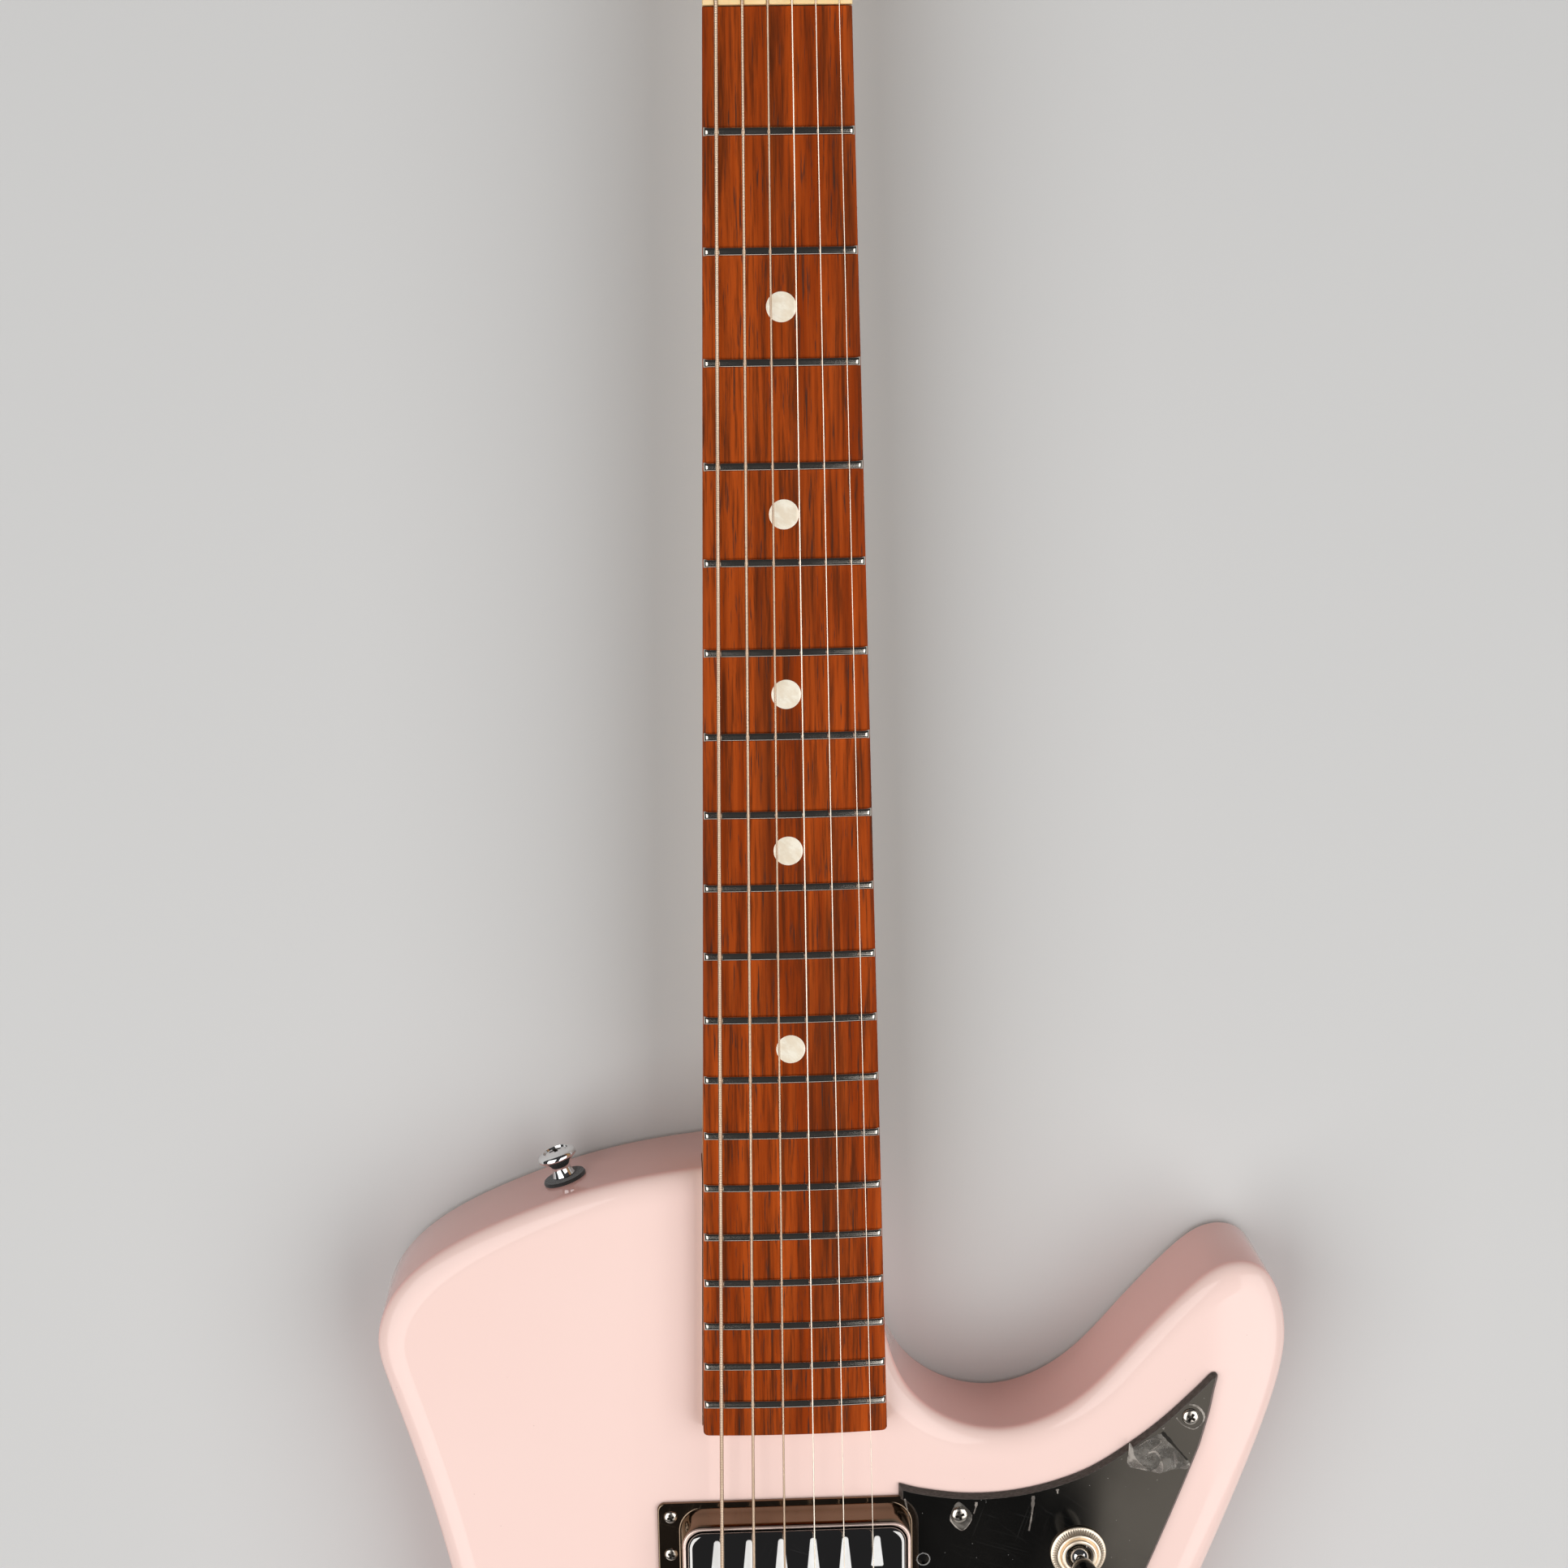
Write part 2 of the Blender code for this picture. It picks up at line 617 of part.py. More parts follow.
def make_neck(outline, finish, head_frame):
    heel_depth = NECK_LIFT + POCKET_DEPTH - GAP
    tongue = max(y for x, y in outline if abs(x) < BOARD_END_WIDTH / 2)
    heel_end = tongue + HEEL_RUNOUT
    sections = [neck_section(y, NECK_TOP, heel_depth, HEEL_SQUARENESS) for y in (BOARD_END_Y, heel_end)]
    for step in range(1, 6):
        share = smooth(step / 5)
        depth = heel_depth + (NECK_DEPTH_HEEL - heel_depth) * share
        squareness = HEEL_SQUARENESS ** (1 - share) * SHAFT_SQUARENESS ** share
        sections.append(neck_section(heel_end + HEEL_BLEND * step / 5, NECK_TOP, depth, squareness))
    sections.append(neck_section(NUT_BACK, NECK_TOP, NECK_DEPTH_NUT, SHAFT_SQUARENESS))
    drop = TUCK_LENGTH * math.tan(math.radians(HEAD_TILT)) + HEAD_EDGE
    sections.append(neck_section(NUT_BACK + TUCK_LENGTH, NECK_TOP - drop, TUCK_DEPTH, SHAFT_SQUARENESS))
    neck = add("neck", loft(sections), finish)
    edges = ((HEAD_EDGE, -HEAD_THICKNESS), (0, HEAD_EDGE - HEAD_THICKNESS), (0, -HEAD_EDGE), (HEAD_EDGE, 0))
    join(neck, plate(head_outline(), edges), parent=head_frame)
    half = ROD_NUT_RADIUS + GAP
    slot = [(-half, BOARD_END_Y + ROD_INSET), (half, BOARD_END_Y + ROD_INSET),
            (half, NUT_BACK + ROD_REACH + GAP), (-half, NUT_BACK + ROD_REACH + GAP)]
    cut(neck, prism(slot, NECK_TOP - ROD_SLOT_DEPTH, NECK_TOP + OVER))
    for number in range(STRING_COUNT):
        _, x, y = post_place(number)
        bore = circle((x, y), POST_RADIUS + GAP + BUSH_WALL + GAP, SMALL_SIDES)
        cut(neck, prism(bore, -HEAD_THICKNESS - OVER, OVER), parent=head_frame)
    heel_bottom = NECK_TOP - heel_depth
    for place in neck_screw_places():
        bore = circle(place, NECK_SCREW_RADIUS + GAP, SMALL_SIDES)
        cut(neck, prism(bore, heel_bottom - OVER, heel_bottom + NECK_SCREW_REACH + GAP))
    return neck


def board_section(y, lift):
    """Crowned cross-section of the board, raised by lift where a fret crosses."""
    half = board_width(y) / 2
    across = [half * (1 - 2 * step / 4) for step in range(5)]
    low = NECK_TOP + GAP
    return [(x, y, BOARD_TOP - crown(x) + lift) for x in across] + [(-half, y, low), (half, y, low)]


def make_fingerboard(finish):
    """Board with its frets as round ridges."""
    sections = [board_section(BOARD_END_Y, 0)]
    for fret in range(FRET_COUNT, 0, -1):
        middle = SCALE_LENGTH * 2 ** (-fret / 12)
        for place, lift in ((-0.5, 0), (-0.25, 1), (0.25, 1), (0.5, 0)):
            sections.append(board_section(middle + place * FRET_WIDTH, lift * FRET_HEIGHT))
    sections.append(board_section(BOARD_NUT_Y, 0))
    return add("fingerboard", loft(sections), finish)


def make_nut(finish):
    """Block across the neck with a slot under each string."""
    half = NUT_WIDTH / 2
    top = [(half, BOARD_TOP - crown(half) + NUT_LIFT)]
    for number in reversed(range(STRING_COUNT)):
        x = string_x_nut(number)
        floor = string_under_nut(number) - GAP
        room = STRING_GAUGES[number] / 2 + GAP
        rim = floor + NUT_SLOT_DEPTH
        top += [(x + room, rim), (x + room, floor), (x - room, floor), (x - room, rim)]
    top.append((-half, BOARD_TOP - crown(half) + NUT_LIFT))
    low = NECK_TOP + GAP
    profile = [(-half, low), (half, low)] + top
    return add("nut", loft([[(x, y, z) for x, z in profile] for y in (NUT_FRONT, NUT_BACK)]), finish)


def make_truss_rod(finish):
    length = NUT_BACK + ROD_REACH - BOARD_END_Y - ROD_INSET - 2 * GAP
    profile = ((ROD_RADIUS, 0), (ROD_RADIUS, length - ROD_NUT_LENGTH),
               (ROD_NUT_RADIUS, length - ROD_NUT_LENGTH), (ROD_NUT_RADIUS, length))
    height = NECK_TOP - ROD_SLOT_DEPTH + GAP + ROD_NUT_RADIUS
    place = (0, BOARD_END_Y + ROD_INSET + GAP, height)
    return add("truss_rod", lying(turned(profile, SMALL_SIDES)), finish, place)


def make_truss_rod_cover(finish, head_frame):
    """Bell-shaped plate over the truss rod's nut."""
    half, length = COVER_PLATE_WIDTH / 2, COVER_PLATE_LENGTH
    right = open_curve(((half, 0), (half * 0.9, length * 0.3), (half * 0.45, length * 0.65),
                        (half * 0.3, length * 0.9), (0, length)), 3)
    outline = [(x, y + COVER_PLATE_START) for x, y in right]
    outline += [(-x, y + COVER_PLATE_START) for x, y in reversed(right[:-1])]
    edge = COVER_PLATE_THICKNESS / 3
    steps = ((0, GAP), (0, GAP + COVER_PLATE_THICKNESS - edge), (edge, GAP + COVER_PLATE_THICKNESS))
    return add("truss_rod_cover", plate(outline, steps), finish, parent=head_frame)


def make_neck_plate(finish):
    centre = (PLATE_X, BOARD_END_Y + PLATE_SETBACK)
    outline = rounded_rectangle(PLATE_WIDTH, PLATE_LENGTH, PLATE_THICKNESS * 3, 3, centre)
    made = add("neck_plate", prism(outline, GAP, GAP + PLATE_THICKNESS), finish)
    rise = NECK_SCREW_HEAD - NECK_SCREW_RADIUS
    wide, narrow = NECK_SCREW_HEAD + 2 * GAP, NECK_SCREW_RADIUS + 2 * GAP
    profile = ((wide, -OVER), (wide, GAP), (narrow, GAP + rise), (narrow, rise + OVER))
    for place in neck_screw_places():
        cut(made, turned(profile, SMALL_SIDES), location=(*place, 0))
    return made


def make_neck_screw(number, place, finish):
    """Countersunk screw from the plate into the heel."""
    tip = BODY_THICKNESS - POCKET_DEPTH + NECK_SCREW_REACH
    profile = ((NECK_SCREW_HEAD, GAP), (NECK_SCREW_RADIUS, GAP + NECK_SCREW_HEAD - NECK_SCREW_RADIUS),
               (NECK_SCREW_RADIUS, tip - NECK_SCREW_RADIUS), (NECK_SCREW_RADIUS / 3, tip))
    return add(f"neck_screw_{number}", turned(profile, SMALL_SIDES), finish, (*place, 0))


# Tuners, in the headstock's frame with the post on local Z

def housing_reach():
    return max(GEAR_RADIUS, WORM_LENGTH / 2) + GAP + HOUSING_WALL


def make_tuner_housing(number, finish, head_frame):
    """Case under the headstock with the worm and gear's rooms, and the bush through the headstock."""
    side, x, y = post_place(number)
    reach = housing_reach()
    near = -(GEAR_RADIUS + GAP + HOUSING_WALL)
    far = WORM_Y + WORM_RADIUS + GAP + HOUSING_WALL
    outline = rounded_rectangle(2 * reach, far - near, HOUSING_WALL * 2, 2, (0, (near + far) / 2))
    top = -HEAD_THICKNESS - GAP
    bottom = 2 * GEAR_Z - top
    edge = HOUSING_WALL / 2
    place = dict(location=(x, y, 0), parent=head_frame)
    case = plate(outline, ((edge, bottom), (0, bottom + edge), (0, top)))
    made = add(f"tuner_housing_{label(number)}", case, finish, **place)
    bush = POST_RADIUS + GAP + BUSH_WALL
    join(made, prism(circle((0, 0), bush, SMALL_SIDES), top - HOUSING_WALL / 2, BUSH_RISE), **place)
    room = GEAR_THICKNESS / 2 + GAP
    cut(made, prism(circle((0, 0), GEAR_RADIUS + GAP, SMALL_SIDES), GEAR_Z - room, GEAR_Z + room), **place)
    cut(made, prism(circle((0, 0), POST_RADIUS + GAP, SMALL_SIDES), GEAR_Z, BUSH_RISE + OVER), **place)
    end = WORM_LENGTH / 2 + GAP
    worm = prism(circle((0, 0), WORM_RADIUS + GAP, SMALL_SIDES), -end, end)
    sideways = dict(location=(x, y + WORM_Y, GEAR_Z), parent=head_frame, rotation=(0, side * math.pi / 2, 0))
    cut(made, worm, **sideways)
    cut(made, prism(circle((0, 0), KEY_SHAFT_RADIUS + GAP, SMALL_SIDES), 0, reach + OVER), **sideways)
    return made


def make_tuner_key(number, finish, head_frame):
    """Worm, shaft and button in one, with the origin on the worm's axis."""
    side, x, y = post_place(number)
    start = HEAD_MARGIN + KEY_STANDOFF
    half = WORM_LENGTH / 2
    stem = KEY_SHAFT_RADIUS * 1.6
    stations = [(-half, WORM_RADIUS, WORM_RADIUS), (half, WORM_RADIUS, WORM_RADIUS),
                (half, KEY_SHAFT_RADIUS, KEY_SHAFT_RADIUS), (start, KEY_SHAFT_RADIUS, KEY_SHAFT_RADIUS),
                (start, stem, stem)]
    for share, swell in ((0.15, 0.55), (0.35, 0.9), (0.6, 1.0), (0.85, 0.8), (1.0, 0.4)):
        thick = max(stem, BUTTON_THICKNESS / 2 * swell)
        stations.append((start + BUTTON_LENGTH * share, max(stem, BUTTON_WIDTH / 2 * swell), thick))
    ring = circle((0, 0), 1, SMALL_SIDES)
    loops = [[(side * at, wide * a, thick * b) for a, b in ring] for at, wide, thick in stations]
    return add(f"tuner_key_{label(number)}", loft(loops), finish, (x, y + WORM_Y, GEAR_Z), head_frame)


def make_tuner_post(number, finish, head_frame):
    """Post with its gear, waisted a little above the turns of string."""
    _, x, y = post_place(number)
    half = GEAR_THICKNESS / 2
    waist = POST_HEIGHT - POST_RADIUS
    profile = ((GEAR_RADIUS, GEAR_Z - half), (GEAR_RADIUS, GEAR_Z + half), (POST_RADIUS, GEAR_Z + half),
               (POST_RADIUS, WRAP_HEIGHT + THICKEST), (POST_RADIUS * 0.85, waist),
               (POST_RADIUS, POST_HEIGHT - GAP), (POST_RADIUS * 0.85, POST_HEIGHT))
    return add(f"tuner_post_{label(number)}", turned(profile, SMALL_SIDES), finish, (x, y, 0), head_frame)


# Strings

def string_route(number):
    """Centreline from the tailpiece over bridge and nut to the turns on the post."""
    radius = STRING_GAUGES[number] / 2
    x = string_x_bridge(number)
    hole = tail_hole_height()
    saddle = string_under_bridge(number) + radius
    nut = Vector((string_x_nut(number), NUT_BACK + GAP, string_under_nut(number) + radius))
    points = [Vector((x, TAIL_Y - TAIL_WIDTH / 4, hole)), Vector((x, TAIL_Y + TAIL_WIDTH / 2 + GAP, hole)),
              Vector((x, -setback(number), saddle)), nut]
    side, post_x, post_y = post_place(number)
    start = HEAD_FRAME.inverted() @ nut
    wrap = POST_RADIUS + GAP + radius
    centre = Vector((post_x, post_y))
    way = centre - start.xy
    heading = math.atan2(way.y, way.x) + side * math.asin(wrap / way.length)
    touch = start.xy + math.sqrt(way.length ** 2 - wrap ** 2) * Vector((math.cos(heading), math.sin(heading)))
    first = math.atan2(touch.y - post_y, touch.x - post_x)
    pitch = STRING_GAUGES[number] + WRAP_SPACE
    for step in range(int(WRAP_TURNS * WRAP_POINTS) + 1):
        turn = step / WRAP_POINTS
        angle = first - side * 2 * math.pi * turn
        spot = centre + wrap * Vector((math.cos(angle), math.sin(angle)))
        points.append(HEAD_FRAME @ Vector((spot.x, spot.y, WRAP_HEIGHT - pitch * turn)))
    return points


def least_wrap_gap(number, points):
    """Smallest free space between the turns of one string."""
    turns = points[4:]
    near = WRAP_POINTS // 2
    apart = [(a - b).length for i, a in enumerate(turns) for b in turns[i + near:]]
    return min(apart) - STRING_GAUGES[number]


def make_string(number, finish):
    name = f"string_{label(number)}"
    points = string_route(number)
    print(name, "least gap between turns", round(least_wrap_gap(number, points), 6), "m")
    curve = bpy.data.curves.new(name, 'CURVE')
    curve.dimensions = '3D'
    curve.bevel_depth = STRING_GAUGES[number] / 2
    curve.bevel_resolution = STRING_ROUNDING
    curve.use_fill_caps = True
    curve.materials.append(finish)
    run = curve.splines.new('POLY')
    run.points.add(len(points) - 1)
    for spot, point in zip(run.points, points):
        spot.co = (*point, 1)
    made = bpy.data.objects.new(name, curve)
    bpy.context.collection.objects.link(made)
    return made


# Pickups

def make_pickup_ring(name, y, finish):
    """Raised ring with a flange for screws at each side."""
    low = GUARD_BOTTOM
    inner = COVER_CORNER + GAP

    def level(size, corner, z):
        return [(a, b, z) for a, b in rounded_rectangle(*size, corner)]

    loops = [level(RING_FLANGE, RIM_END, low), level(RING_FLANGE, RIM_END, low + RING_BASE),
             level(RING_FOOT, RING_CORNER, low + RING_BASE),
             level(RING_TOP, RING_CORNER - RIM_SIDE, low + RING_HEIGHT),
             level(RING_OPEN, inner, low + RING_HEIGHT), level(RING_OPEN, inner, low)]
    return add(name, loft(loops, ring=True), finish, (0, y, 0))


def slot_outlines(space):
    """Tapered windows of the cover, in pairs from the middle, widened by a space all round."""
    outlines = []
    top = COVER_LENGTH / 2 - SLOT_SETBACK
    for number in range(STRING_COUNT):
        x = (number - (STRING_COUNT - 1) / 2) * SLOT_PITCH
        outer = number in (0, STRING_COUNT - 1)
        length = OUTER_SLOT_LENGTH if outer else SLOT_LENGTH
        growth = (SLOT_BOTTOM_WIDTH - SLOT_TOP_WIDTH) / SLOT_LENGTH
        wide = SLOT_TOP_WIDTH + growth * length
        outline = [(x + wide / 2, top - length), (x + SLOT_TOP_WIDTH / 2, top), (x - SLOT_TOP_WIDTH / 2, top),
                   (x - wide / 2, top - length)]
        outlines.append(inset(outline, -space))
    return outlines


def make_pickup_cover(name, y, finish):
    """Drawn cover, open below, with a tapered window over each pole of the coil."""
    top = cover_top(y)
    low = top - COVER_HEIGHT

    def level(edge, z):
        size = (COVER_WIDTH - 2 * edge, COVER_LENGTH - 2 * edge)
        return [(a, b, z) for a, b in rounded_rectangle(*size, COVER_CORNER - edge)]

    loops = [level(COVER_WALL, top - COVER_WALL), level(COVER_WALL, low), level(0, low),
             level(0, top - COVER_EDGE), level(COVER_EDGE * 0.3, top - COVER_EDGE * 0.3),
             level(COVER_EDGE, top)]
    made = add(name, loft(loops), finish, (0, y, 0))
    for outline in slot_outlines(0):
        cut(made, prism(outline, top - COVER_WALL - GAP, top + OVER), location=(0, y, 0))
    return made


def make_pickup_coil(name, y, finish):
    """Flanged bobbin that fills the cover, with raised poles in the cover's windows."""
    top = cover_top(y) - COVER_WALL - GAP
    low = cover_top(y) - COVER_HEIGHT
    width = COVER_WIDTH - 2 * (COVER_WALL + GAP)
    length = COVER_LENGTH - 2 * (COVER_WALL + GAP)

    def level(edge, z):
        size = (width - 2 * edge, length - 2 * edge)
        return [(a, b, z) for a, b in rounded_rectangle(*size, COVER_CORNER - COVER_WALL)]

    loops = [level(0, low), level(0, low + COIL_FLANGE), level(COIL_WAIST, low + COIL_FLANGE),
             level(COIL_WAIST, top - COIL_FLANGE), level(0, top - COIL_FLANGE), level(0, top)]
    made = add(name, loft(loops), finish, (0, y, 0))
    for outline in slot_outlines(-GAP):
        join(made, prism(outline, top - COIL_FLANGE / 2, top + COVER_WALL + GAP), location=(0, y, 0))
    return made


# Pickguard

def guard_outline(outline):
    """Follows the body's edge at a margin from the cutaway to the lower bout, then back along the pickups."""
    edge = inset(outline, GUARD_MARGIN)
    kept = []
    for x, y in edge:
        nearest = min(math.hypot(x - a, y - b) for a, b in outline)
        if nearest > GUARD_MARGIN * GUARD_KEEP and x > GUARD_START_X and y > GUARD_END_Y:
            kept.append((x, y))
    start = max(range(len(kept)), key=lambda i: math.dist(kept[i - 1], kept[i]))
    kept = kept[start:] + kept[:start]
    corner_y = NECK_PICKUP_Y + RING_FOOT[1] / 2 - RING_CORNER
    corner_x = RING_FOOT[0] / 2 - RING_CORNER
    sweep = RING_CORNER + GUARD_RING_SPACE
    last = math.acos((GUARD_CORNER[0] - corner_x) / sweep)
    tail = open_curve([kept[0]] + list(GUARD_TAIL) + [(GUARD_EDGE_X, BRIDGE_PICKUP_Y)], 3)
    tail = list(reversed(tail))[:-1]
    turns = [last * i / 5 for i in range(6)]
    notch = [(corner_x + sweep * math.cos(a), corner_y + sweep * math.sin(a)) for a in turns]
    top = open_curve((GUARD_CORNER, GUARD_BEND, kept[-1]), 2)[:-1]
    return kept + list(reversed(top)) + list(reversed(notch)) + tail


def make_pickguard(outline, finish):
    steps = ((0, GUARD_BOTTOM), (0, GUARD_BOTTOM + GUARD_BEVEL / 4), (GUARD_BEVEL, GUARD_TOP))
    made = add("pickguard", plate(guard_outline(outline), steps), finish)
    low, high = GUARD_BOTTOM - OVER, GUARD_TOP + OVER
    cut(made, prism(circle(SWITCH_AT, SWITCH_BUSH_RADIUS + GAP, ROUND_SIDES), low, high))
    for place in (VOLUME_AT, TONE_AT, JACK_AT):
        cut(made, prism(circle(place, THREAD_RADIUS + GAP, ROUND_SIDES), low, high))
    for y in (NECK_PICKUP_Y, BRIDGE_PICKUP_Y):
        inner = GUARD_CORNER[0] - OVER
        outer = RING_FLANGE[0] / 2 + GAP
        relief = rounded_rectangle(outer - inner, RING_FLANGE[1] + 2 * GAP, GAP, 1, ((inner + outer) / 2, y))
        cut(made, prism(relief, low, GUARD_BOTTOM + RING_BASE + GAP))
        hole = ((RING_FOOT[0] + RING_FLANGE[0]) / 4, y + ACCESS_HOLE_SHIFT)
        cut(made, prism(circle(hole, ACCESS_HOLE_RADIUS, SMALL_SIDES), low, high))
    return made


# Selector switch

def make_switch_body(finish):
    """Box under the guard with a threaded bush that holds the lever's ball."""
    low = GUARD_BOTTOM - GAP
    outline = rounded_rectangle(SWITCH_BOX_WIDTH, SWITCH_BOX_LENGTH, HOUSING_WALL, 2)
    place = dict(location=(*SWITCH_AT, 0))
    made = add("switch_body", prism(outline, low - SWITCH_BOX_DEPTH, low), finish, **place)
    top = GUARD_TOP + SWITCH_NUT_HEIGHT - GAP
    join(made, prism(circle((0, 0), SWITCH_BUSH_RADIUS, ROUND_SIDES), low - OVER, top), **place)
    swing = SWITCH_BALL_RADIUS + GAP
    floor = SWITCH_PIVOT_Z - SWITCH_STUB - OVER
    cut(made, prism(circle((0, 0), swing, ROUND_SIDES), floor, top + OVER), **place)
    return made


def make_switch_nut(finish):
    """Round dress nut over the bush."""
    bore = SWITCH_BUSH_RADIUS + GAP
    low = GUARD_TOP + GAP
    high = low + SWITCH_NUT_HEIGHT
    edge = SWITCH_NUT_HEIGHT / 4
    profile = ((bore, low), (SWITCH_NUT_RADIUS, low), (SWITCH_NUT_RADIUS, high - edge),
               (SWITCH_NUT_RADIUS - edge, high), (bore, high))
    return add("switch_nut", turned(profile, ring=True), finish, (*SWITCH_AT, 0))


def make_switch_lever(finish):
    """Ball, rod and stub, with the origin at the ball's centre."""
    ball = [(SWITCH_BALL_RADIUS * math.cos(a), SWITCH_BALL_RADIUS * math.sin(a)) for a in
            (math.radians(degrees) for degrees in (-60, -30, 0, 30, 60))]
    profile = [(SWITCH_ROD_RADIUS, -SWITCH_STUB)] + [(SWITCH_ROD_RADIUS, ball[0][1])] + ball
    profile += [(SWITCH_ROD_RADIUS, ball[-1][1]), (SWITCH_ROD_RADIUS, SWITCH_ROD_HEIGHT)]
    return add("switch_lever", turned(profile, SMALL_SIDES), finish, (*SWITCH_AT, SWITCH_PIVOT_Z))


def make_switch_tip(finish):
    """Barrel tip pushed over the end of the rod, with the origin at the lever's pivot."""
    socket = SWITCH_ROD_RADIUS + GAP
    low = SWITCH_ROD_HEIGHT - TIP_SOCKET
    high = low + TIP_LENGTH
    swell = ((0.7, 0), (0.92, 0.25), (1.0, 0.6), (0.9, 0.88), (0.55, 1))
    profile = [(socket, SWITCH_ROD_HEIGHT + GAP), (socket, low)]
    profile += [(TIP_RADIUS * wide, low + TIP_LENGTH * share) for wide, share in swell[:-1]]
    profile.append((TIP_RADIUS * swell[-1][0], high))
    return add("switch_tip", turned(profile, SMALL_SIDES), finish, (*SWITCH_AT, SWITCH_PIVOT_Z))


# Pots, knobs and jack

def make_pot(name, place, finish):
    """Can under the guard, with a threaded bush and its nut above."""
    low = GUARD_BOTTOM - GAP
    nut = GUARD_TOP + GAP
    bore = SHAFT_RADIUS + GAP
    rise = GUARD_TOP + THREAD_RISE
    profile = ((bore, low - SHAFT_DEPTH - GAP), (bore, rise), (THREAD_RADIUS, rise),
               (THREAD_RADIUS, nut + PANEL_NUT_HEIGHT), (PANEL_NUT_RADIUS, nut + PANEL_NUT_HEIGHT),
               (PANEL_NUT_RADIUS, nut), (THREAD_RADIUS, nut), (THREAD_RADIUS, low), (POT_RADIUS, low),
               (POT_RADIUS, low - POT_HEIGHT))
    return add(name, turned(profile), finish, (*place, 0))


def make_knob(name, place, finish):
    """Knob with its shaft, turning on the vertical through its place."""
    low = GUARD_TOP + KNOB_LIFT
    high = low + KNOB_HEIGHT
    recess = PANEL_NUT_RADIUS + KNOB_ROOM
    ceiling = GUARD_TOP + THREAD_RISE + KNOB_ROOM
    edge = KNOB_RADIUS / 12
    profile = ((SHAFT_RADIUS, GUARD_BOTTOM - GAP - SHAFT_DEPTH), (SHAFT_RADIUS, ceiling),
               (recess, ceiling), (recess, low), (KNOB_RADIUS, low), (KNOB_RADIUS, low + KNOB_SKIRT),
               (KNOB_TOP_RADIUS, low + KNOB_SKIRT * 1.6), (KNOB_TOP_RADIUS - edge / 2, high - edge),
               (KNOB_TOP_RADIUS - edge * 1.5, high))
    return add(name, turned(profile), finish, (*place, 0))


def make_output_jack(finish):
    """Barrel socket under the guard, open at the front, with its panel nut."""
    low = GUARD_BOTTOM - GAP
    nut = GUARD_TOP + GAP
    rise = nut + PANEL_NUT_HEIGHT
    floor = low - JACK_DEPTH
    profile = ((JACK_BORE, floor), (JACK_BORE, rise + GAP), (THREAD_RADIUS, rise + GAP),
               (THREAD_RADIUS, rise), (PANEL_NUT_RADIUS, rise), (PANEL_NUT_RADIUS, nut),
               (THREAD_RADIUS, nut), (THREAD_RADIUS, low),
               (JACK_FLANGE, low), (JACK_FLANGE, low - RING_BASE), (JACK_BARREL_RADIUS, low - RING_BASE),
               (JACK_BARREL_RADIUS, floor - HOUSING_WALL))
    return add("output_jack", turned(profile), finish, (*JACK_AT, 0))


# Bridge and tailpiece

def bar_top():
    lowest = min(string_under_bridge(number) for number in range(STRING_COUNT))
    return lowest - GAP - SADDLE_HEIGHT


def make_bridge(finish):
    """Bar with a roof-shaped saddle under each string."""
    top = bar_top()
    low = top - BRIDGE_BAR_HEIGHT
    half = BRIDGE_BAR_WIDTH / 2

    def station(x, number, raised):
        middle = -setback(number)
        crest = string_under_bridge(number) - GAP if raised else top
        section = ((-half, low), (half, low), (half, top), (middle + SADDLE_BASE, top),
                   (middle + SADDLE_TOP, crest), (middle - SADDLE_TOP, crest), (middle - SADDLE_BASE, top),
                   (-half, top))
        return [(x, y, z) for y, z in section]

    end = BRIDGE_STUD_X + BAR_END
    stations = [station(-end, 0, False)]
    for number in range(STRING_COUNT):
        x = string_x_bridge(number)
        for shift, raised in ((-1, False), (-1, True), (1, True), (1, False)):
            step = 0 if raised else SADDLE_STEP
            stations.append(station(x + shift * (SADDLE_WIDTH / 2 + step), number, raised))
    stations.append(station(end, STRING_COUNT - 1, False))
    made = add("bridge", loft(stations), finish)
    for side in (-1, 1):
        bore = circle((side * BRIDGE_STUD_X, 0), STUD_RADIUS + GAP, SMALL_SIDES)
        cut(made, prism(bore, low - OVER, top + OVER))
    return made


def make_bridge_stud(name, side, finish):
    """Threaded post in the body with a height wheel under the bar."""
    top = bar_top()
    wheel = top - BRIDGE_BAR_HEIGHT - GAP
    under = wheel - WHEEL_THICKNESS
    profile = ((ANCHOR_RADIUS, BODY_THICKNESS - ANCHOR_DEPTH), (ANCHOR_RADIUS, under), (WHEEL_RADIUS, under),
               (WHEEL_RADIUS, wheel), (STUD_RADIUS, wheel), (STUD_RADIUS, top))
    return add(name, turned(profile), finish, (side * BRIDGE_STUD_X, 0, 0))


def tail_hole_height():
    return BODY_THICKNESS + TAIL_STANDOFF + TAIL_HEIGHT / 2


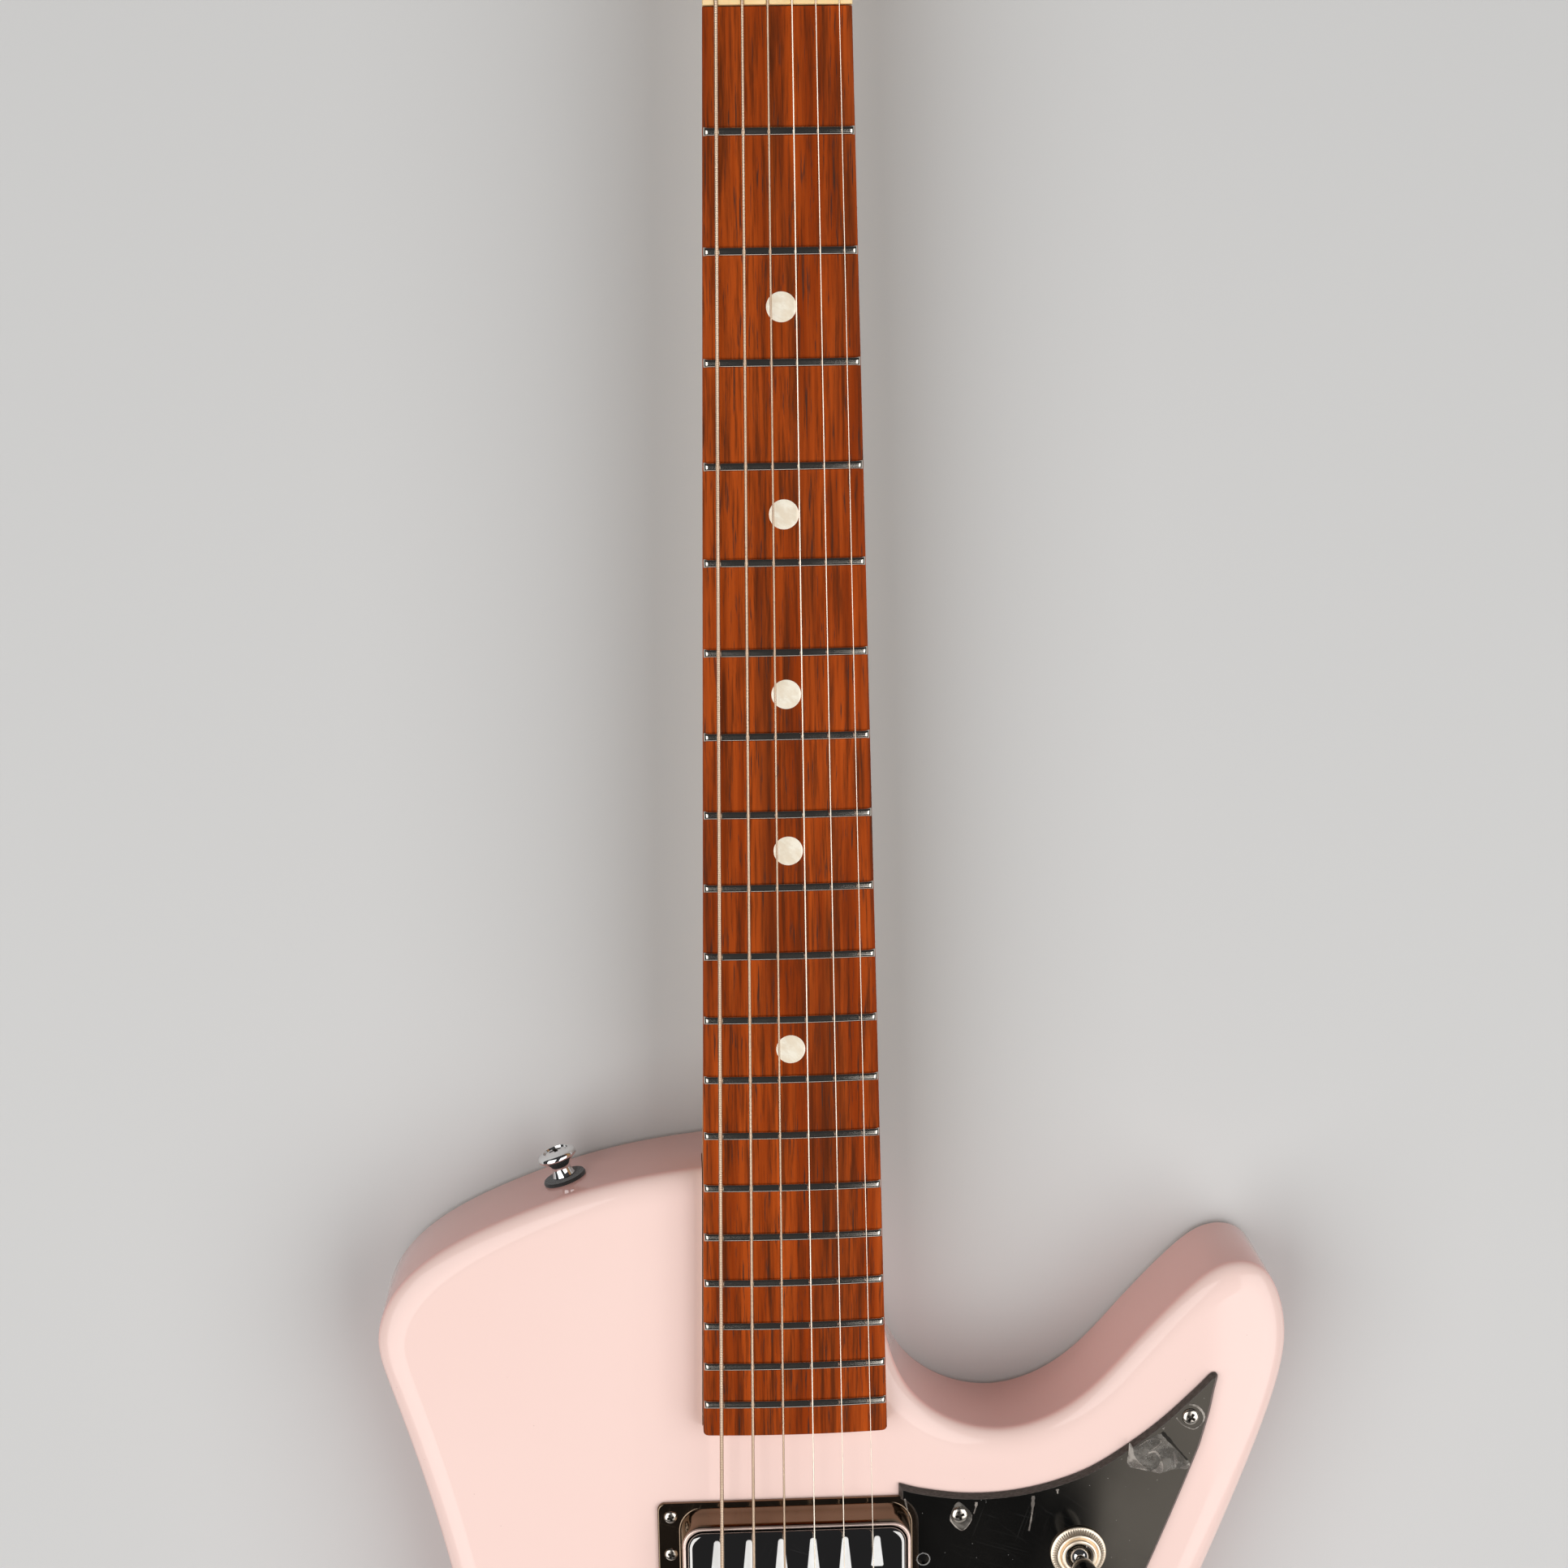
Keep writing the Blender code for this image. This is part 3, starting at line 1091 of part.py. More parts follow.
def make_tailpiece(finish):
    """Bar that anchors the strings, held down by two studs."""
    middle = tail_hole_height()
    end = TAIL_STUD_X + TAIL_END
    section = rounded_rectangle(TAIL_WIDTH, TAIL_HEIGHT, TAIL_CORNER, 3)
    stations = ((-end, TAIL_TAPER), (TAIL_CORNER - end, 1), (end - TAIL_CORNER, 1), (end, TAIL_TAPER))
    loops = [[(x, TAIL_Y + y * size, middle + z * size) for y, z in section] for x, size in stations]
    made = add("tailpiece", loft(loops), finish)
    hole = THICKEST / 2 + STRING_HOLE_SPACE
    reach = TAIL_WIDTH / 2 + OVER
    for number in range(STRING_COUNT):
        bore = lying(turned(((hole, -reach), (hole, reach)), SMALL_SIDES))
        cut(made, bore, location=(string_x_bridge(number), TAIL_Y, middle))
    for side in (-1, 1):
        bore = circle((side * TAIL_STUD_X, TAIL_Y), TAIL_NECK_RADIUS + GAP, SMALL_SIDES)
        cut(made, prism(bore, middle - TAIL_HEIGHT, middle + TAIL_HEIGHT))
    return made


def make_tail_stud(name, side, finish):
    """Shouldered stud: anchor in the body, neck through the bar, head over it."""
    low = BODY_THICKNESS + TAIL_STANDOFF - GAP
    high = BODY_THICKNESS + TAIL_STANDOFF + TAIL_HEIGHT + GAP
    edge = TAIL_HEAD_HEIGHT / 3
    profile = ((ANCHOR_RADIUS, BODY_THICKNESS - ANCHOR_DEPTH), (ANCHOR_RADIUS, BODY_THICKNESS),
               (TAIL_HEAD_RADIUS, BODY_THICKNESS + GAP), (TAIL_HEAD_RADIUS, low), (TAIL_NECK_RADIUS, low),
               (TAIL_NECK_RADIUS, high), (TAIL_HEAD_RADIUS, high),
               (TAIL_HEAD_RADIUS, high + TAIL_HEAD_HEIGHT - edge),
               (TAIL_HEAD_RADIUS - edge, high + TAIL_HEAD_HEIGHT))
    return add(name, turned(profile, SMALL_SIDES), finish, (side * TAIL_STUD_X, TAIL_Y, 0))


# Strap buttons

def make_strap_button(name, point, normal, finish):
    """Flared button with its screw, local Z pointing away from the body."""
    base, waist, rise = STRAP_BASE_RADIUS, STRAP_WAIST_RADIUS, STRAP_HEIGHT
    profile = ((STRAP_SCREW_RADIUS / 2, -STRAP_SCREW_LENGTH),
               (STRAP_SCREW_RADIUS, -STRAP_SCREW_LENGTH * 0.8), (STRAP_SCREW_RADIUS, GAP), (base, GAP),
               (base * 0.97, rise * 0.15), (waist, rise * 0.38), (waist * 1.15, rise * 0.55),
               (base, rise * 0.74), (base * 1.02, rise * 0.86), (base * 0.85, rise))
    place = (*point, BODY_THICKNESS / 2)
    return add(name, turned(profile, SMALL_SIDES), finish, place, rotation=axis_rotation(normal))


def main():
    for old in list(bpy.data.objects):
        bpy.data.objects.remove(old)
    paint = material("pink_gloss", (0.93, 0.68, 0.61), 0.12)
    maple = material("neck_wood", (0.62, 0.4, 0.2), 0.35)
    rosewood = material("board_wood", (0.2, 0.045, 0.012), 0.5)
    bone = material("bone", (0.85, 0.79, 0.62), 0.4)
    nickel = material("nickel", (0.72, 0.68, 0.62), 0.18, 1.0)
    chrome = material("chrome", (0.82, 0.82, 0.83), 0.08, 1.0)
    steel = material("steel", (0.55, 0.55, 0.56), 0.3, 1.0)
    bronze = material("wound_string", (0.6, 0.5, 0.38), 0.35, 1.0)
    black = material("black_gloss", (0.006, 0.006, 0.007), 0.06)
    dark_metal = material("dark_mirror", (0.05, 0.048, 0.045), 0.05, 1.0)
    white = material("white_bobbin", (0.85, 0.85, 0.83), 0.4)

    head_frame = bpy.data.objects.new("head_frame", None)
    head_frame.matrix_world = HEAD_FRAME
    bpy.context.collection.objects.link(head_frame)

    outline = body_outline()
    make_body(outline, paint)
    make_neck(outline, maple, head_frame)
    make_fingerboard(rosewood)
    make_nut(bone)
    make_truss_rod(steel)
    make_truss_rod_cover(black, head_frame)
    make_neck_plate(chrome)
    for number, place in enumerate(neck_screw_places(), 1):
        make_neck_screw(number, place, chrome)
    make_pickguard(outline, black)
    for place, y in (("neck", NECK_PICKUP_Y), ("bridge", BRIDGE_PICKUP_Y)):
        make_pickup_ring(f"{place}_pickup_ring", y, nickel)
        make_pickup_cover(f"{place}_pickup_cover", y, dark_metal)
        make_pickup_coil(f"{place}_pickup_coil", y, white)
    make_switch_body(steel)
    make_switch_nut(nickel)
    make_switch_lever(chrome)
    make_switch_tip(black)
    for use, place in (("volume", VOLUME_AT), ("tone", TONE_AT)):
        make_pot(f"{use}_pot", place, steel)
        make_knob(f"{use}_knob", place, black)
    make_output_jack(nickel)
    make_bridge(nickel)
    make_tailpiece(nickel)
    for name, side in (("bass", -1), ("treble", 1)):
        make_bridge_stud(f"bridge_stud_{name}", side, nickel)
        make_tail_stud(f"tailpiece_stud_{name}", side, nickel)
    upper, lower = strap_places(outline)
    make_strap_button("strap_button_upper", *upper, chrome)
    make_strap_button("strap_button_lower", *lower, chrome)
    for number in range(STRING_COUNT):
        make_string(number, bronze if number < STRING_COUNT / 2 else steel)
        make_tuner_housing(number, chrome, head_frame)
        make_tuner_key(number, chrome, head_frame)
        make_tuner_post(number, chrome, head_frame)


main()
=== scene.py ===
import json
import math

import bmesh
import bpy
import numpy as np
from mathutils import Matrix, Vector


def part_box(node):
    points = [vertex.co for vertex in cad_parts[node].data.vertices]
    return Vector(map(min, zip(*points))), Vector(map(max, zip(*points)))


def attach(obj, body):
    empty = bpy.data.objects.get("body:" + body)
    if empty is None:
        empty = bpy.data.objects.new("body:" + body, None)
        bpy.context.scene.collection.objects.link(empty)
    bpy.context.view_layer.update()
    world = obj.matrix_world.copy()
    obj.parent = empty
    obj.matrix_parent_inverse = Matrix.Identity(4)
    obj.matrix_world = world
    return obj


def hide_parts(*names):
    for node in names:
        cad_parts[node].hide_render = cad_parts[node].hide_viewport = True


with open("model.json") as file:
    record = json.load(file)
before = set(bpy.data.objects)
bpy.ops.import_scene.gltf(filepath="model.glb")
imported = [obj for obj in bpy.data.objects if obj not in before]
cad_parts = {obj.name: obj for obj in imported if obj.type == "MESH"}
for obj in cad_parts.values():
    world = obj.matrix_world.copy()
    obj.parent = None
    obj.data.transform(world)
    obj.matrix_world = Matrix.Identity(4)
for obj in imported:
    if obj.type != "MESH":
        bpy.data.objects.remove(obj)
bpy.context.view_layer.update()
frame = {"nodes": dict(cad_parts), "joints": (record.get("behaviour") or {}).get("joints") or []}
scene = bpy.context.scene
scene.view_settings.view_transform = 'Standard'
joints = {joint["name"]: joint for joint in frame["joints"]}
root = "guitar"
gap = 0.0003         # clearance that the frame keeps between touching pieces
over = 0.001         # how far a cutter passes the face that it cuts
mm = 0.001
print("frame loaded:", len(frame["nodes"]), "nodes")


# camera and lights

cameraSet = dict(
    place=(-0.03626, 0.57171, 0.87221),
    turn=(-11.4502, -2.6083, -0.7347),    # degrees
    focal=3500,                           # pixels, as are the frame's sides
    frame=1932,
    sensor=36,
    nearest=0.01,
)

lightSet = dict(
    left=dict(place=(-1.20, 0.0, 1.66), turn=(0, -34, 0), size=(1.8, 2.5), power=36.2),
    right=dict(place=(1.27, -0.05, 1.56), turn=(0, 37, 0), size=(1.8, 2.5), power=35.4),
    back=dict(place=(0.0, -3.2, 0.55), turn=(90, 0, 0), size=(5.0, 0.9), power=16),
)
worldColour = (0.045, 0.045, 0.047)


def toScene(name, data):
    thing = bpy.data.objects.new(name, data)
    scene.collection.objects.link(thing)
    return thing


def aim(thing, made):
    thing.location = made["place"]
    thing.rotation_euler = [math.radians(angle) for angle in made["turn"]]


def makeCamera(made):
    lens = bpy.data.cameras.new("photoCamera")
    lens.sensor_width = made["sensor"]
    lens.lens = made["sensor"] * made["focal"] / made["frame"]
    lens.clip_start = made["nearest"]
    scene.camera = toScene("photoCamera", lens)
    aim(scene.camera, made)


def makeLights(made):
    for name, row in made.items():
        lamp = bpy.data.lights.new(name + "Softbox", 'AREA')
        lamp.shape = 'RECTANGLE'
        lamp.size, lamp.size_y = row["size"]
        lamp.energy = row["power"]
        aim(toScene(name + "Softbox", lamp), row)
    scene.world = bpy.data.worlds.new("softRoom")
    scene.world.use_nodes = True
    scene.world.node_tree.nodes["Background"].inputs["Color"].default_value = (*worldColour, 1)


makeCamera(cameraSet)
makeLights(lightSet)
print("camera and lights ready")


# node tools

def give(tree, socket, value):
    if isinstance(value, bpy.types.NodeSocket):
        tree.links.new(value, socket)
    else:
        socket.default_value = value


def put(tree, kind, props=None, **inputs):
    node = tree.nodes.new("ShaderNode" + kind)
    for key, value in (props or {}).items():
        setattr(node, key, value)
    for key, value in inputs.items():        # in0 and in1 are the first two sockets
        numbered = key[:2] == "in" and key[2:].isdigit()
        give(tree, node.inputs[int(key[2:]) if numbered else key.replace("_", " ")], value)
    return node


def feed(tree, sockets, **values):
    for key, value in values.items():
        tree.links.new(value, sockets[key.replace("_", " ")])


def math2(tree, kind, a, b=0.0):
    return put(tree, "Math", {"operation": kind}, in0=a, in1=b).outputs[0]


def times(tree, a, b):
    return math2(tree, 'MULTIPLY', a, b)


def plus(tree, a, b):
    return math2(tree, 'ADD', a, b)


def minus(tree, a, b):
    return math2(tree, 'SUBTRACT', a, b)


def blend(tree, share, a, b):
    node = put(tree, "Mix", {"data_type": 'RGBA'})
    give(tree, node.inputs[0], share)
    for spot, value in ((6, a), (7, b)):      # the two colour sockets
        give(tree, node.inputs[spot], (*value, 1) if isinstance(value, tuple) else value)
    return node.outputs[2]


def tint(tree, base, mask, share, colour):
    return blend(tree, times(tree, mask, share), base, colour)


def ramp(tree, value, low, high, start=0.0, end=1.0):
    return put(tree, "MapRange", {"interpolation_type": 'SMOOTHSTEP'}, Value=value,
               From_Min=low, From_Max=high, To_Min=start, To_Max=end).outputs[0]


def noise(tree, vector, scale=1.0, detail=3.0, rough=0.5):
    node = put(tree, "TexNoise", Vector=vector, Scale=scale, Detail=detail, Roughness=rough)
    return node.outputs["Fac"]


def stretched(tree, scale=(1, 1, 1), turn=(0, 0, 0)):
    where = put(tree, "TexCoord").outputs["Object"]
    where = put(tree, "Mapping", Vector=where, Rotation=turn).outputs[0]
    return put(tree, "Mapping", Vector=where, Scale=scale).outputs[0]


def reading(tree, kind, axis):
    return put(tree, "SeparateXYZ", Vector=put(tree, "TexCoord").outputs[kind]).outputs[axis]


def bump(tree, height, strength, distance):
    return put(tree, "Bump", Height=height, Strength=strength, Distance=distance).outputs[0]


def newGroup(name, outputs, **inputs):
    tree = bpy.data.node_groups.new(name, 'ShaderNodeTree')
    for label, value in inputs.items():
        socket = tree.interface.new_socket(label, in_out='INPUT', socket_type='NodeSocketFloat')
        socket.default_value = value
    for label in outputs:
        tree.interface.new_socket(label, in_out='OUTPUT', socket_type='NodeSocketFloat')
    return tree, tree.nodes.new("NodeGroupInput").outputs, tree.nodes.new("NodeGroupOutput").inputs


def useGroup(tree, group, **inputs):
    return put(tree, "Group", {"node_tree": group}, **inputs).outputs


# shared effects

hairlineSet = dict(
    runs=((0.35, (2600, 42, 400)), (-0.9, (2100, 34, 400)), (1.9, (1800, 28, 400))),     # turn and scale
    thin=(0.66, 0.72), patch=(22, 22, 22), patchEdge=(0.45, 0.65),
)


def makeHairlines(made):
    tree, given, out = newGroup("hairlines", ("Mask",), Density=1.0)
    lines = [ramp(tree, noise(tree, stretched(tree, scale, (0, 0, turn)), detail=2.0), *made["thin"])
             for turn, scale in made["runs"]]
    total = lines[0]
    for line in lines[1:]:
        total = math2(tree, 'MAXIMUM', total, line)
    patches = ramp(tree, noise(tree, stretched(tree, made["patch"]), detail=2.0), *made["patchEdge"])
    feed(tree, out, Mask=times(tree, times(tree, total, patches), given["Density"]))
    return tree


def makeSmudge():
    tree, given, out = newGroup("smudge", ("Value", "Mask"), Size=30.0, Low=0.1, High=0.2)
    mask = ramp(tree, noise(tree, stretched(tree), given["Size"], 5.0), 0.35, 0.68)
    span = minus(tree, given["High"], given["Low"])
    feed(tree, out, Value=plus(tree, given["Low"], times(tree, mask, span)), Mask=mask)
    return tree


def makeDust(bare=0.86):        # share of the cells that hold no speck
    tree, given, out = newGroup("dust", ("Mask",), Scale=900.0, Size=0.16)
    cells = put(tree, "TexVoronoi", Vector=stretched(tree), Scale=given["Scale"])
    speck = math2(tree, 'LESS_THAN', cells.outputs["Distance"], given["Size"])
    chance = put(tree, "SeparateColor", Color=cells.outputs["Color"]).outputs[0]
    feed(tree, out, Mask=times(tree, speck, math2(tree, 'GREATER_THAN', chance, bare)))
    return tree


rubSet = dict(
    samples=4, radius=0.0007, edge=(0.995, 0.93), breaks=(420, 420, 420), broken=(0.35, 0.6),
)


def makeEdgeRub(made):
    tree, given, out = newGroup("edgeRub", ("Mask",), Amount=1.0)
    soft = put(tree, "Bevel", {"samples": made["samples"]}, Radius=made["radius"]).outputs[0]
    plain = put(tree, "NewGeometry").outputs["Normal"]
    alike = put(tree, "VectorMath", {"operation": 'DOT_PRODUCT'}, in0=soft, in1=plain).outputs["Value"]
    broken = ramp(tree, noise(tree, stretched(tree, made["breaks"])), *made["broken"])
    edge = times(tree, ramp(tree, alike, *made["edge"]), broken)
    feed(tree, out, Mask=times(tree, edge, given["Amount"]))
    return tree


grainSet = dict(
    tone=(130.0, 4.0, 0.6), streak=(420.0, 5.0, 0.65), pore=(1500.0, 3.0, 0.6),     # noises
    streakEdge=(0.48, 0.68), poreEdge=(0.58, 0.68),
)


def makeGrain(made):
    tree, given, out = newGroup("grain", ("Tone", "Streak", "Pore"), Width=1.0, Length=1.0)
    across, along = (math2(tree, 'DIVIDE', 1.0, given[label]) for label in ("Width", "Length"))
    scale = put(tree, "CombineXYZ", X=across, Y=along, Z=across).outputs[0]
    where = put(tree, "TexCoord").outputs["Object"]
    run = put(tree, "VectorMath", {"operation": 'MULTIPLY'}, in0=where, in1=scale).outputs[0]
    tone, streak, pore = (noise(tree, run, *made[label]) for label in ("tone", "streak", "pore"))
    feed(tree, out, Tone=tone, Streak=ramp(tree, streak, *made["streakEdge"]),
         Pore=ramp(tree, pore, *made["poreEdge"]))
    return tree


hairlines = makeHairlines(hairlineSet)
smudge = makeSmudge()
dust = makeDust()
edgeRub = makeEdgeRub(rubSet)
grain = makeGrain(grainSet)
print("shared effects ready")


# finishes

def newFinish(name, **inputs):
    finish = bpy.data.materials.new(name)
    finish.use_nodes = True
    sockets = finish.node_tree.nodes["Principled BSDF"].inputs
    for key, value in inputs.items():
        sockets[key.replace("_", " ")].default_value = value
    return finish, finish.node_tree, sockets


# side is a painted shade colour for steep faces, chosen by the slope of the normal
lacquerSet = dict(
    colour=(0.930, 0.690, 0.625), deep=(0.905, 0.645, 0.578), side=(0.860, 0.482, 0.430),
    speck=(0.62, 0.40, 0.35), slope=(0.2, 0.75), deepShare=0.35, speckShare=0.5, peel=420.0,
)


def pinkLacquer(made):
    finish, tree, sockets = newFinish("pinkLacquer", Coat_Weight=1.0, Coat_Roughness=0.05, Coat_IOR=1.36,
                                      Specular_IOR_Level=0.05)
    cloud = useGroup(tree, smudge, Size=9.0, Low=0.30, High=0.34)
    specks = useGroup(tree, dust, Scale=260.0, Size=0.045)
    flat = ramp(tree, math2(tree, 'ABSOLUTE', reading(tree, "Normal", "Z")), *made["slope"])
    base = tint(tree, made["colour"], cloud["Mask"], made["deepShare"], made["deep"])
    base = blend(tree, flat, made["side"], base)          # painted shade: steep faces take the darker, deeper side pink, flat faces the front pink
    base = tint(tree, base, specks["Mask"], made["speckShare"], made["speck"])
    peel = noise(tree, stretched(tree), made["peel"], 2.0)
    feed(tree, sockets, Base_Color=base, Roughness=cloud["Value"], Normal=bump(tree, peel, 0.05, 0.0002))
    return finish


boardSet = dict(
    light=(0.450, 0.074, 0.008), mid=(0.262, 0.036, 0.003), dark=(0.072, 0.017, 0.005),
    pore=(0.040, 0.024, 0.018), width=1.0, length=24.0,
    sizes=((1.0, 1.0), (3.2, 3.0), (0.55, 0.6)),       # widths and lengths of the three grains
    streaks=(0.7, 0.55, 0.75), poreShare=0.8, poreRough=0.15, toneShares=(0.45, 0.55), toneEdge=(0.41, 0.60),
)


def rosewood(made):
    finish, tree, sockets = newFinish("oiledRosewood", IOR=1.45, Specular_IOR_Level=0.045)
    lines, wide, fine = (useGroup(tree, grain, Width=made["width"] * across, Length=made["length"] * along)
                         for across, along in made["sizes"])
    wideTone, fineTone = made["toneShares"]
    tone = plus(tree, times(tree, wide["Tone"], wideTone), times(tree, fine["Tone"], fineTone))
    base = blend(tree, ramp(tree, tone, *made["toneEdge"]), made["mid"], made["light"])
    lineShare, wideShare, fineShare = made["streaks"]
    for run, share in ((wide, wideShare), (lines, lineShare), (fine, fineShare)):
        base = tint(tree, base, run["Streak"], share, made["dark"])
    base = tint(tree, base, lines["Pore"], made["poreShare"], made["pore"])
    sheen = useGroup(tree, smudge, Size=60.0, Low=0.42, High=0.56)
    rough = plus(tree, sheen["Value"], times(tree, lines["Pore"], made["poreRough"]))
    height = minus(tree, 1.0, lines["Pore"])
    feed(tree, sockets, Base_Color=base, Roughness=rough, Normal=bump(tree, height, 0.22, 0.00012))
    return finish


neckWoodSet = dict(
    light=(0.700, 0.445, 0.215), dark=(0.560, 0.320, 0.135), pore=(0.40, 0.215, 0.085),
    flame=(26, 95, 26), flameEdge=(0.4, 0.65), flameShare=0.28, poreShare=0.3,
)


def mapleWood(made):
    finish, tree, sockets = newFinish("satinMaple", Coat_Weight=0.35, Coat_Roughness=0.22)
    lines = useGroup(tree, grain, Width=2.6, Length=40.0)
    flame = ramp(tree, noise(tree, stretched(tree, made["flame"]), detail=2.0), *made["flameEdge"])
    base = blend(tree, lines["Tone"], made["light"], made["dark"])
    base = tint(tree, base, flame, made["flameShare"], made["dark"])
    base = tint(tree, base, lines["Pore"], made["poreShare"], made["pore"])
    sheen = useGroup(tree, smudge, Size=34.0, Low=0.30, High=0.42)
    feed(tree, sockets, Base_Color=base, Roughness=sheen["Value"],
         Normal=bump(tree, lines["Streak"], 0.08, 0.0001))
    return finish


boneSet = dict(
    light=(0.93, 0.68, 0.34), dark=(0.85, 0.60, 0.28), pore=(0.55, 0.45, 0.28), poreShare=0.25,
)


def boneBlank(made):
    finish, tree, sockets = newFinish("polishedBone", Subsurface_Weight=0.12, Subsurface_Scale=0.002)
    lines = useGroup(tree, grain, Width=6.0, Length=1.4)
    base = blend(tree, lines["Tone"], made["light"], made["dark"])
    base = tint(tree, base, lines["Pore"], made["poreShare"], made["pore"])
    sheen = useGroup(tree, smudge, Size=140.0, Low=0.26, High=0.4)
    feed(tree, sockets, Base_Color=base, Roughness=sheen["Value"])
    return finish


pearlSet = dict(
    dull=(0.88, 0.77, 0.60), bright=(0.98, 0.91, 0.76), band=(0.92, 0.80, 0.62), bandShare=0.35,
    swirl=((210, 330, 210), (0.2, 0.1, 0.6)), swirlEdge=(0.38, 0.62), gloss=(0.3, 0.7, 0.14, 0.32),
)


def pearlInlay(made):
    finish, tree, sockets = newFinish("pearlInlay", Coat_Weight=0.6, Coat_Roughness=0.05)
    swirl = noise(tree, stretched(tree, *made["swirl"]), 1.0, 4.0, 0.6)
    band = put(tree, "TexWave", {"wave_type": 'BANDS', "bands_direction": 'DIAGONAL'}, Vector=stretched(tree),
               Scale=120.0, Distortion=9.0, Detail=3.0, Detail_Scale=2.0).outputs["Fac"]
    base = blend(tree, ramp(tree, swirl, *made["swirlEdge"]), made["dull"], made["bright"])
    base = tint(tree, base, band, made["bandShare"], made["band"])
    feed(tree, sockets, Base_Color=base, Roughness=ramp(tree, swirl, *made["gloss"]))
    return finish


metalSet = dict(haze=0.5, rub=0.5, rubBright=1.12, pitDark=0.35, lineRough=0.16)


def metal(name, colour, worn, low, high, lines=0.5, pitted=0.0):
    finish, tree, sockets = newFinish(name, Metallic=1.0)
    haze = useGroup(tree, smudge, Size=55.0, Low=low, High=high)
    marks = useGroup(tree, hairlines, Density=lines)["Mask"]
    rub = useGroup(tree, edgeRub, Amount=0.8)
    bright = tuple(min(1.0, part * metalSet["rubBright"]) for part in colour)
    base = tint(tree, colour, haze["Mask"], metalSet["haze"], worn)
    base = tint(tree, base, rub["Mask"], metalSet["rub"], bright)
    if pitted:
        pits = useGroup(tree, dust, Scale=1500.0, Size=0.25)
        base = tint(tree, base, pits["Mask"], pitted, tuple(part * metalSet["pitDark"] for part in colour))
    rough = plus(tree, haze["Value"], times(tree, marks, metalSet["lineRough"]))
    feed(tree, sockets, Base_Color=base, Roughness=rough, Normal=bump(tree, marks, 0.06, 0.00005))
    return finish


wireSet = dict(bright=(0.78, 0.60, 0.45), dull=(0.68, 0.50, 0.36), grooveShade=(0.44, 0.32, 0.22))


def woundWire(pitch, made):
    finish, tree, sockets = newFinish("woundWire%d" % round(pitch * 1e6), Metallic=1.0)
    turns = math2(tree, 'SINE', times(tree, reading(tree, "Object", "Y"), 2 * math.pi / pitch))
    height = ramp(tree, turns, -1.0, 1.0)
    tarnish = useGroup(tree, smudge, Size=25.0, Low=0.26, High=0.40)
    base = blend(tree, tarnish["Mask"], made["bright"], made["dull"])
    # painted shade: the dips between turns take the darker groove colour
    base = blend(tree, minus(tree, 1.0, height), base, made["grooveShade"])
    feed(tree, sockets, Base_Color=base, Roughness=tarnish["Value"],
         Normal=bump(tree, height, 0.35, pitch / 3))
    return finish


plasticSet = dict(
    scratch=(0.25, 0.25, 0.25), scratchShare=0.12, scratchRough=0.18, scratchDepth=0.000003,
    mote=(0.35, 0.34, 0.32), glint=(1.0, 0.88, 0.73, 1.0),
)


def blackPlastic(name, base, low, high, lines, specks, warp=()):
    finish, tree, sockets = newFinish(name, IOR=1.5, Specular_Tint=plasticSet["glint"])
    marks = useGroup(tree, hairlines, Density=lines)["Mask"]
    motes = useGroup(tree, dust, Scale=700.0, Size=0.1)
    haze = useGroup(tree, smudge, Size=26.0, Low=low, High=high)
    colour = tint(tree, base, marks, plasticSet["scratchShare"], plasticSet["scratch"])
    colour = tint(tree, colour, motes["Mask"], specks, plasticSet["mote"])
    rough = plus(tree, haze["Value"], times(tree, marks, plasticSet["scratchRough"]))
    height = times(tree, marks, plasticSet["scratchDepth"])
    if warp:            # the sheet bends down from the first place to the second, then falls away evenly
        start, end, slope = warp
        past = math2(tree, 'MAXIMUM', minus(tree, reading(tree, "Object", "X"), start))
        bent = math2(tree, 'MINIMUM', past, end - start)
        curve = times(tree, math2(tree, 'POWER', bent, 2.0), slope / (2 * (end - start)))
        height = minus(tree, height, plus(tree, curve, times(tree, minus(tree, past, bent), slope)))
    feed(tree, sockets, Base_Color=colour, Roughness=rough, Normal=bump(tree, height, 1.0, 1.0))
    return finish


scrapeSet = dict(dark=(0.040, 0.033, 0.029), pale=(0.095, 0.080, 0.070), marks=(900, 900, 5000))


def sawnEdge(made):
    finish, tree, sockets = newFinish("scrapedEdge", IOR=1.5)
    marks = noise(tree, stretched(tree, made["marks"]))
    feed(tree, sockets, Base_Color=blend(tree, ramp(tree, marks, 0.35, 0.7), made["dark"], made["pale"]),
         Roughness=ramp(tree, marks, 0.3, 0.7, 0.3, 0.5), Normal=bump(tree, marks, 0.15, 0.0001))
    return finish


def filmScrap(name, pale, clear, low, high):
    finish, tree, sockets = newFinish(name, IOR=1.45)
    folds = noise(tree, stretched(tree, (160, 240, 160), (0, 0, 0.5)), 1.0, 4.0, 0.6)
    feed(tree, sockets, Base_Color=blend(tree, ramp(tree, folds, 0.46, 0.60), clear, pale),
         Alpha=ramp(tree, folds, 0.40, 0.66, low, high), Normal=bump(tree, folds, 0.5, 0.0006),
         Roughness=useGroup(tree, smudge, Size=330.0, Low=0.10, High=0.35)["Value"])
    return finish


bobbinSet = dict(white=(0.86, 0.855, 0.84), dull=(0.80, 0.79, 0.765))


def whiteBobbin(made):
    finish, tree, sockets = newFinish("mouldedWhite", IOR=1.48)
    cloud = useGroup(tree, smudge, Size=180.0, Low=0.30, High=0.45)
    feed(tree, sockets, Base_Color=blend(tree, cloud["Mask"], made["white"], made["dull"]),
         Roughness=cloud["Value"], Normal=bump(tree, cloud["Mask"], 0.04, 0.0001))
    return finish


feltSet = dict(dark=(0.006, 0.006, 0.006), fluff=(0.035, 0.033, 0.032), scale=2600.0)


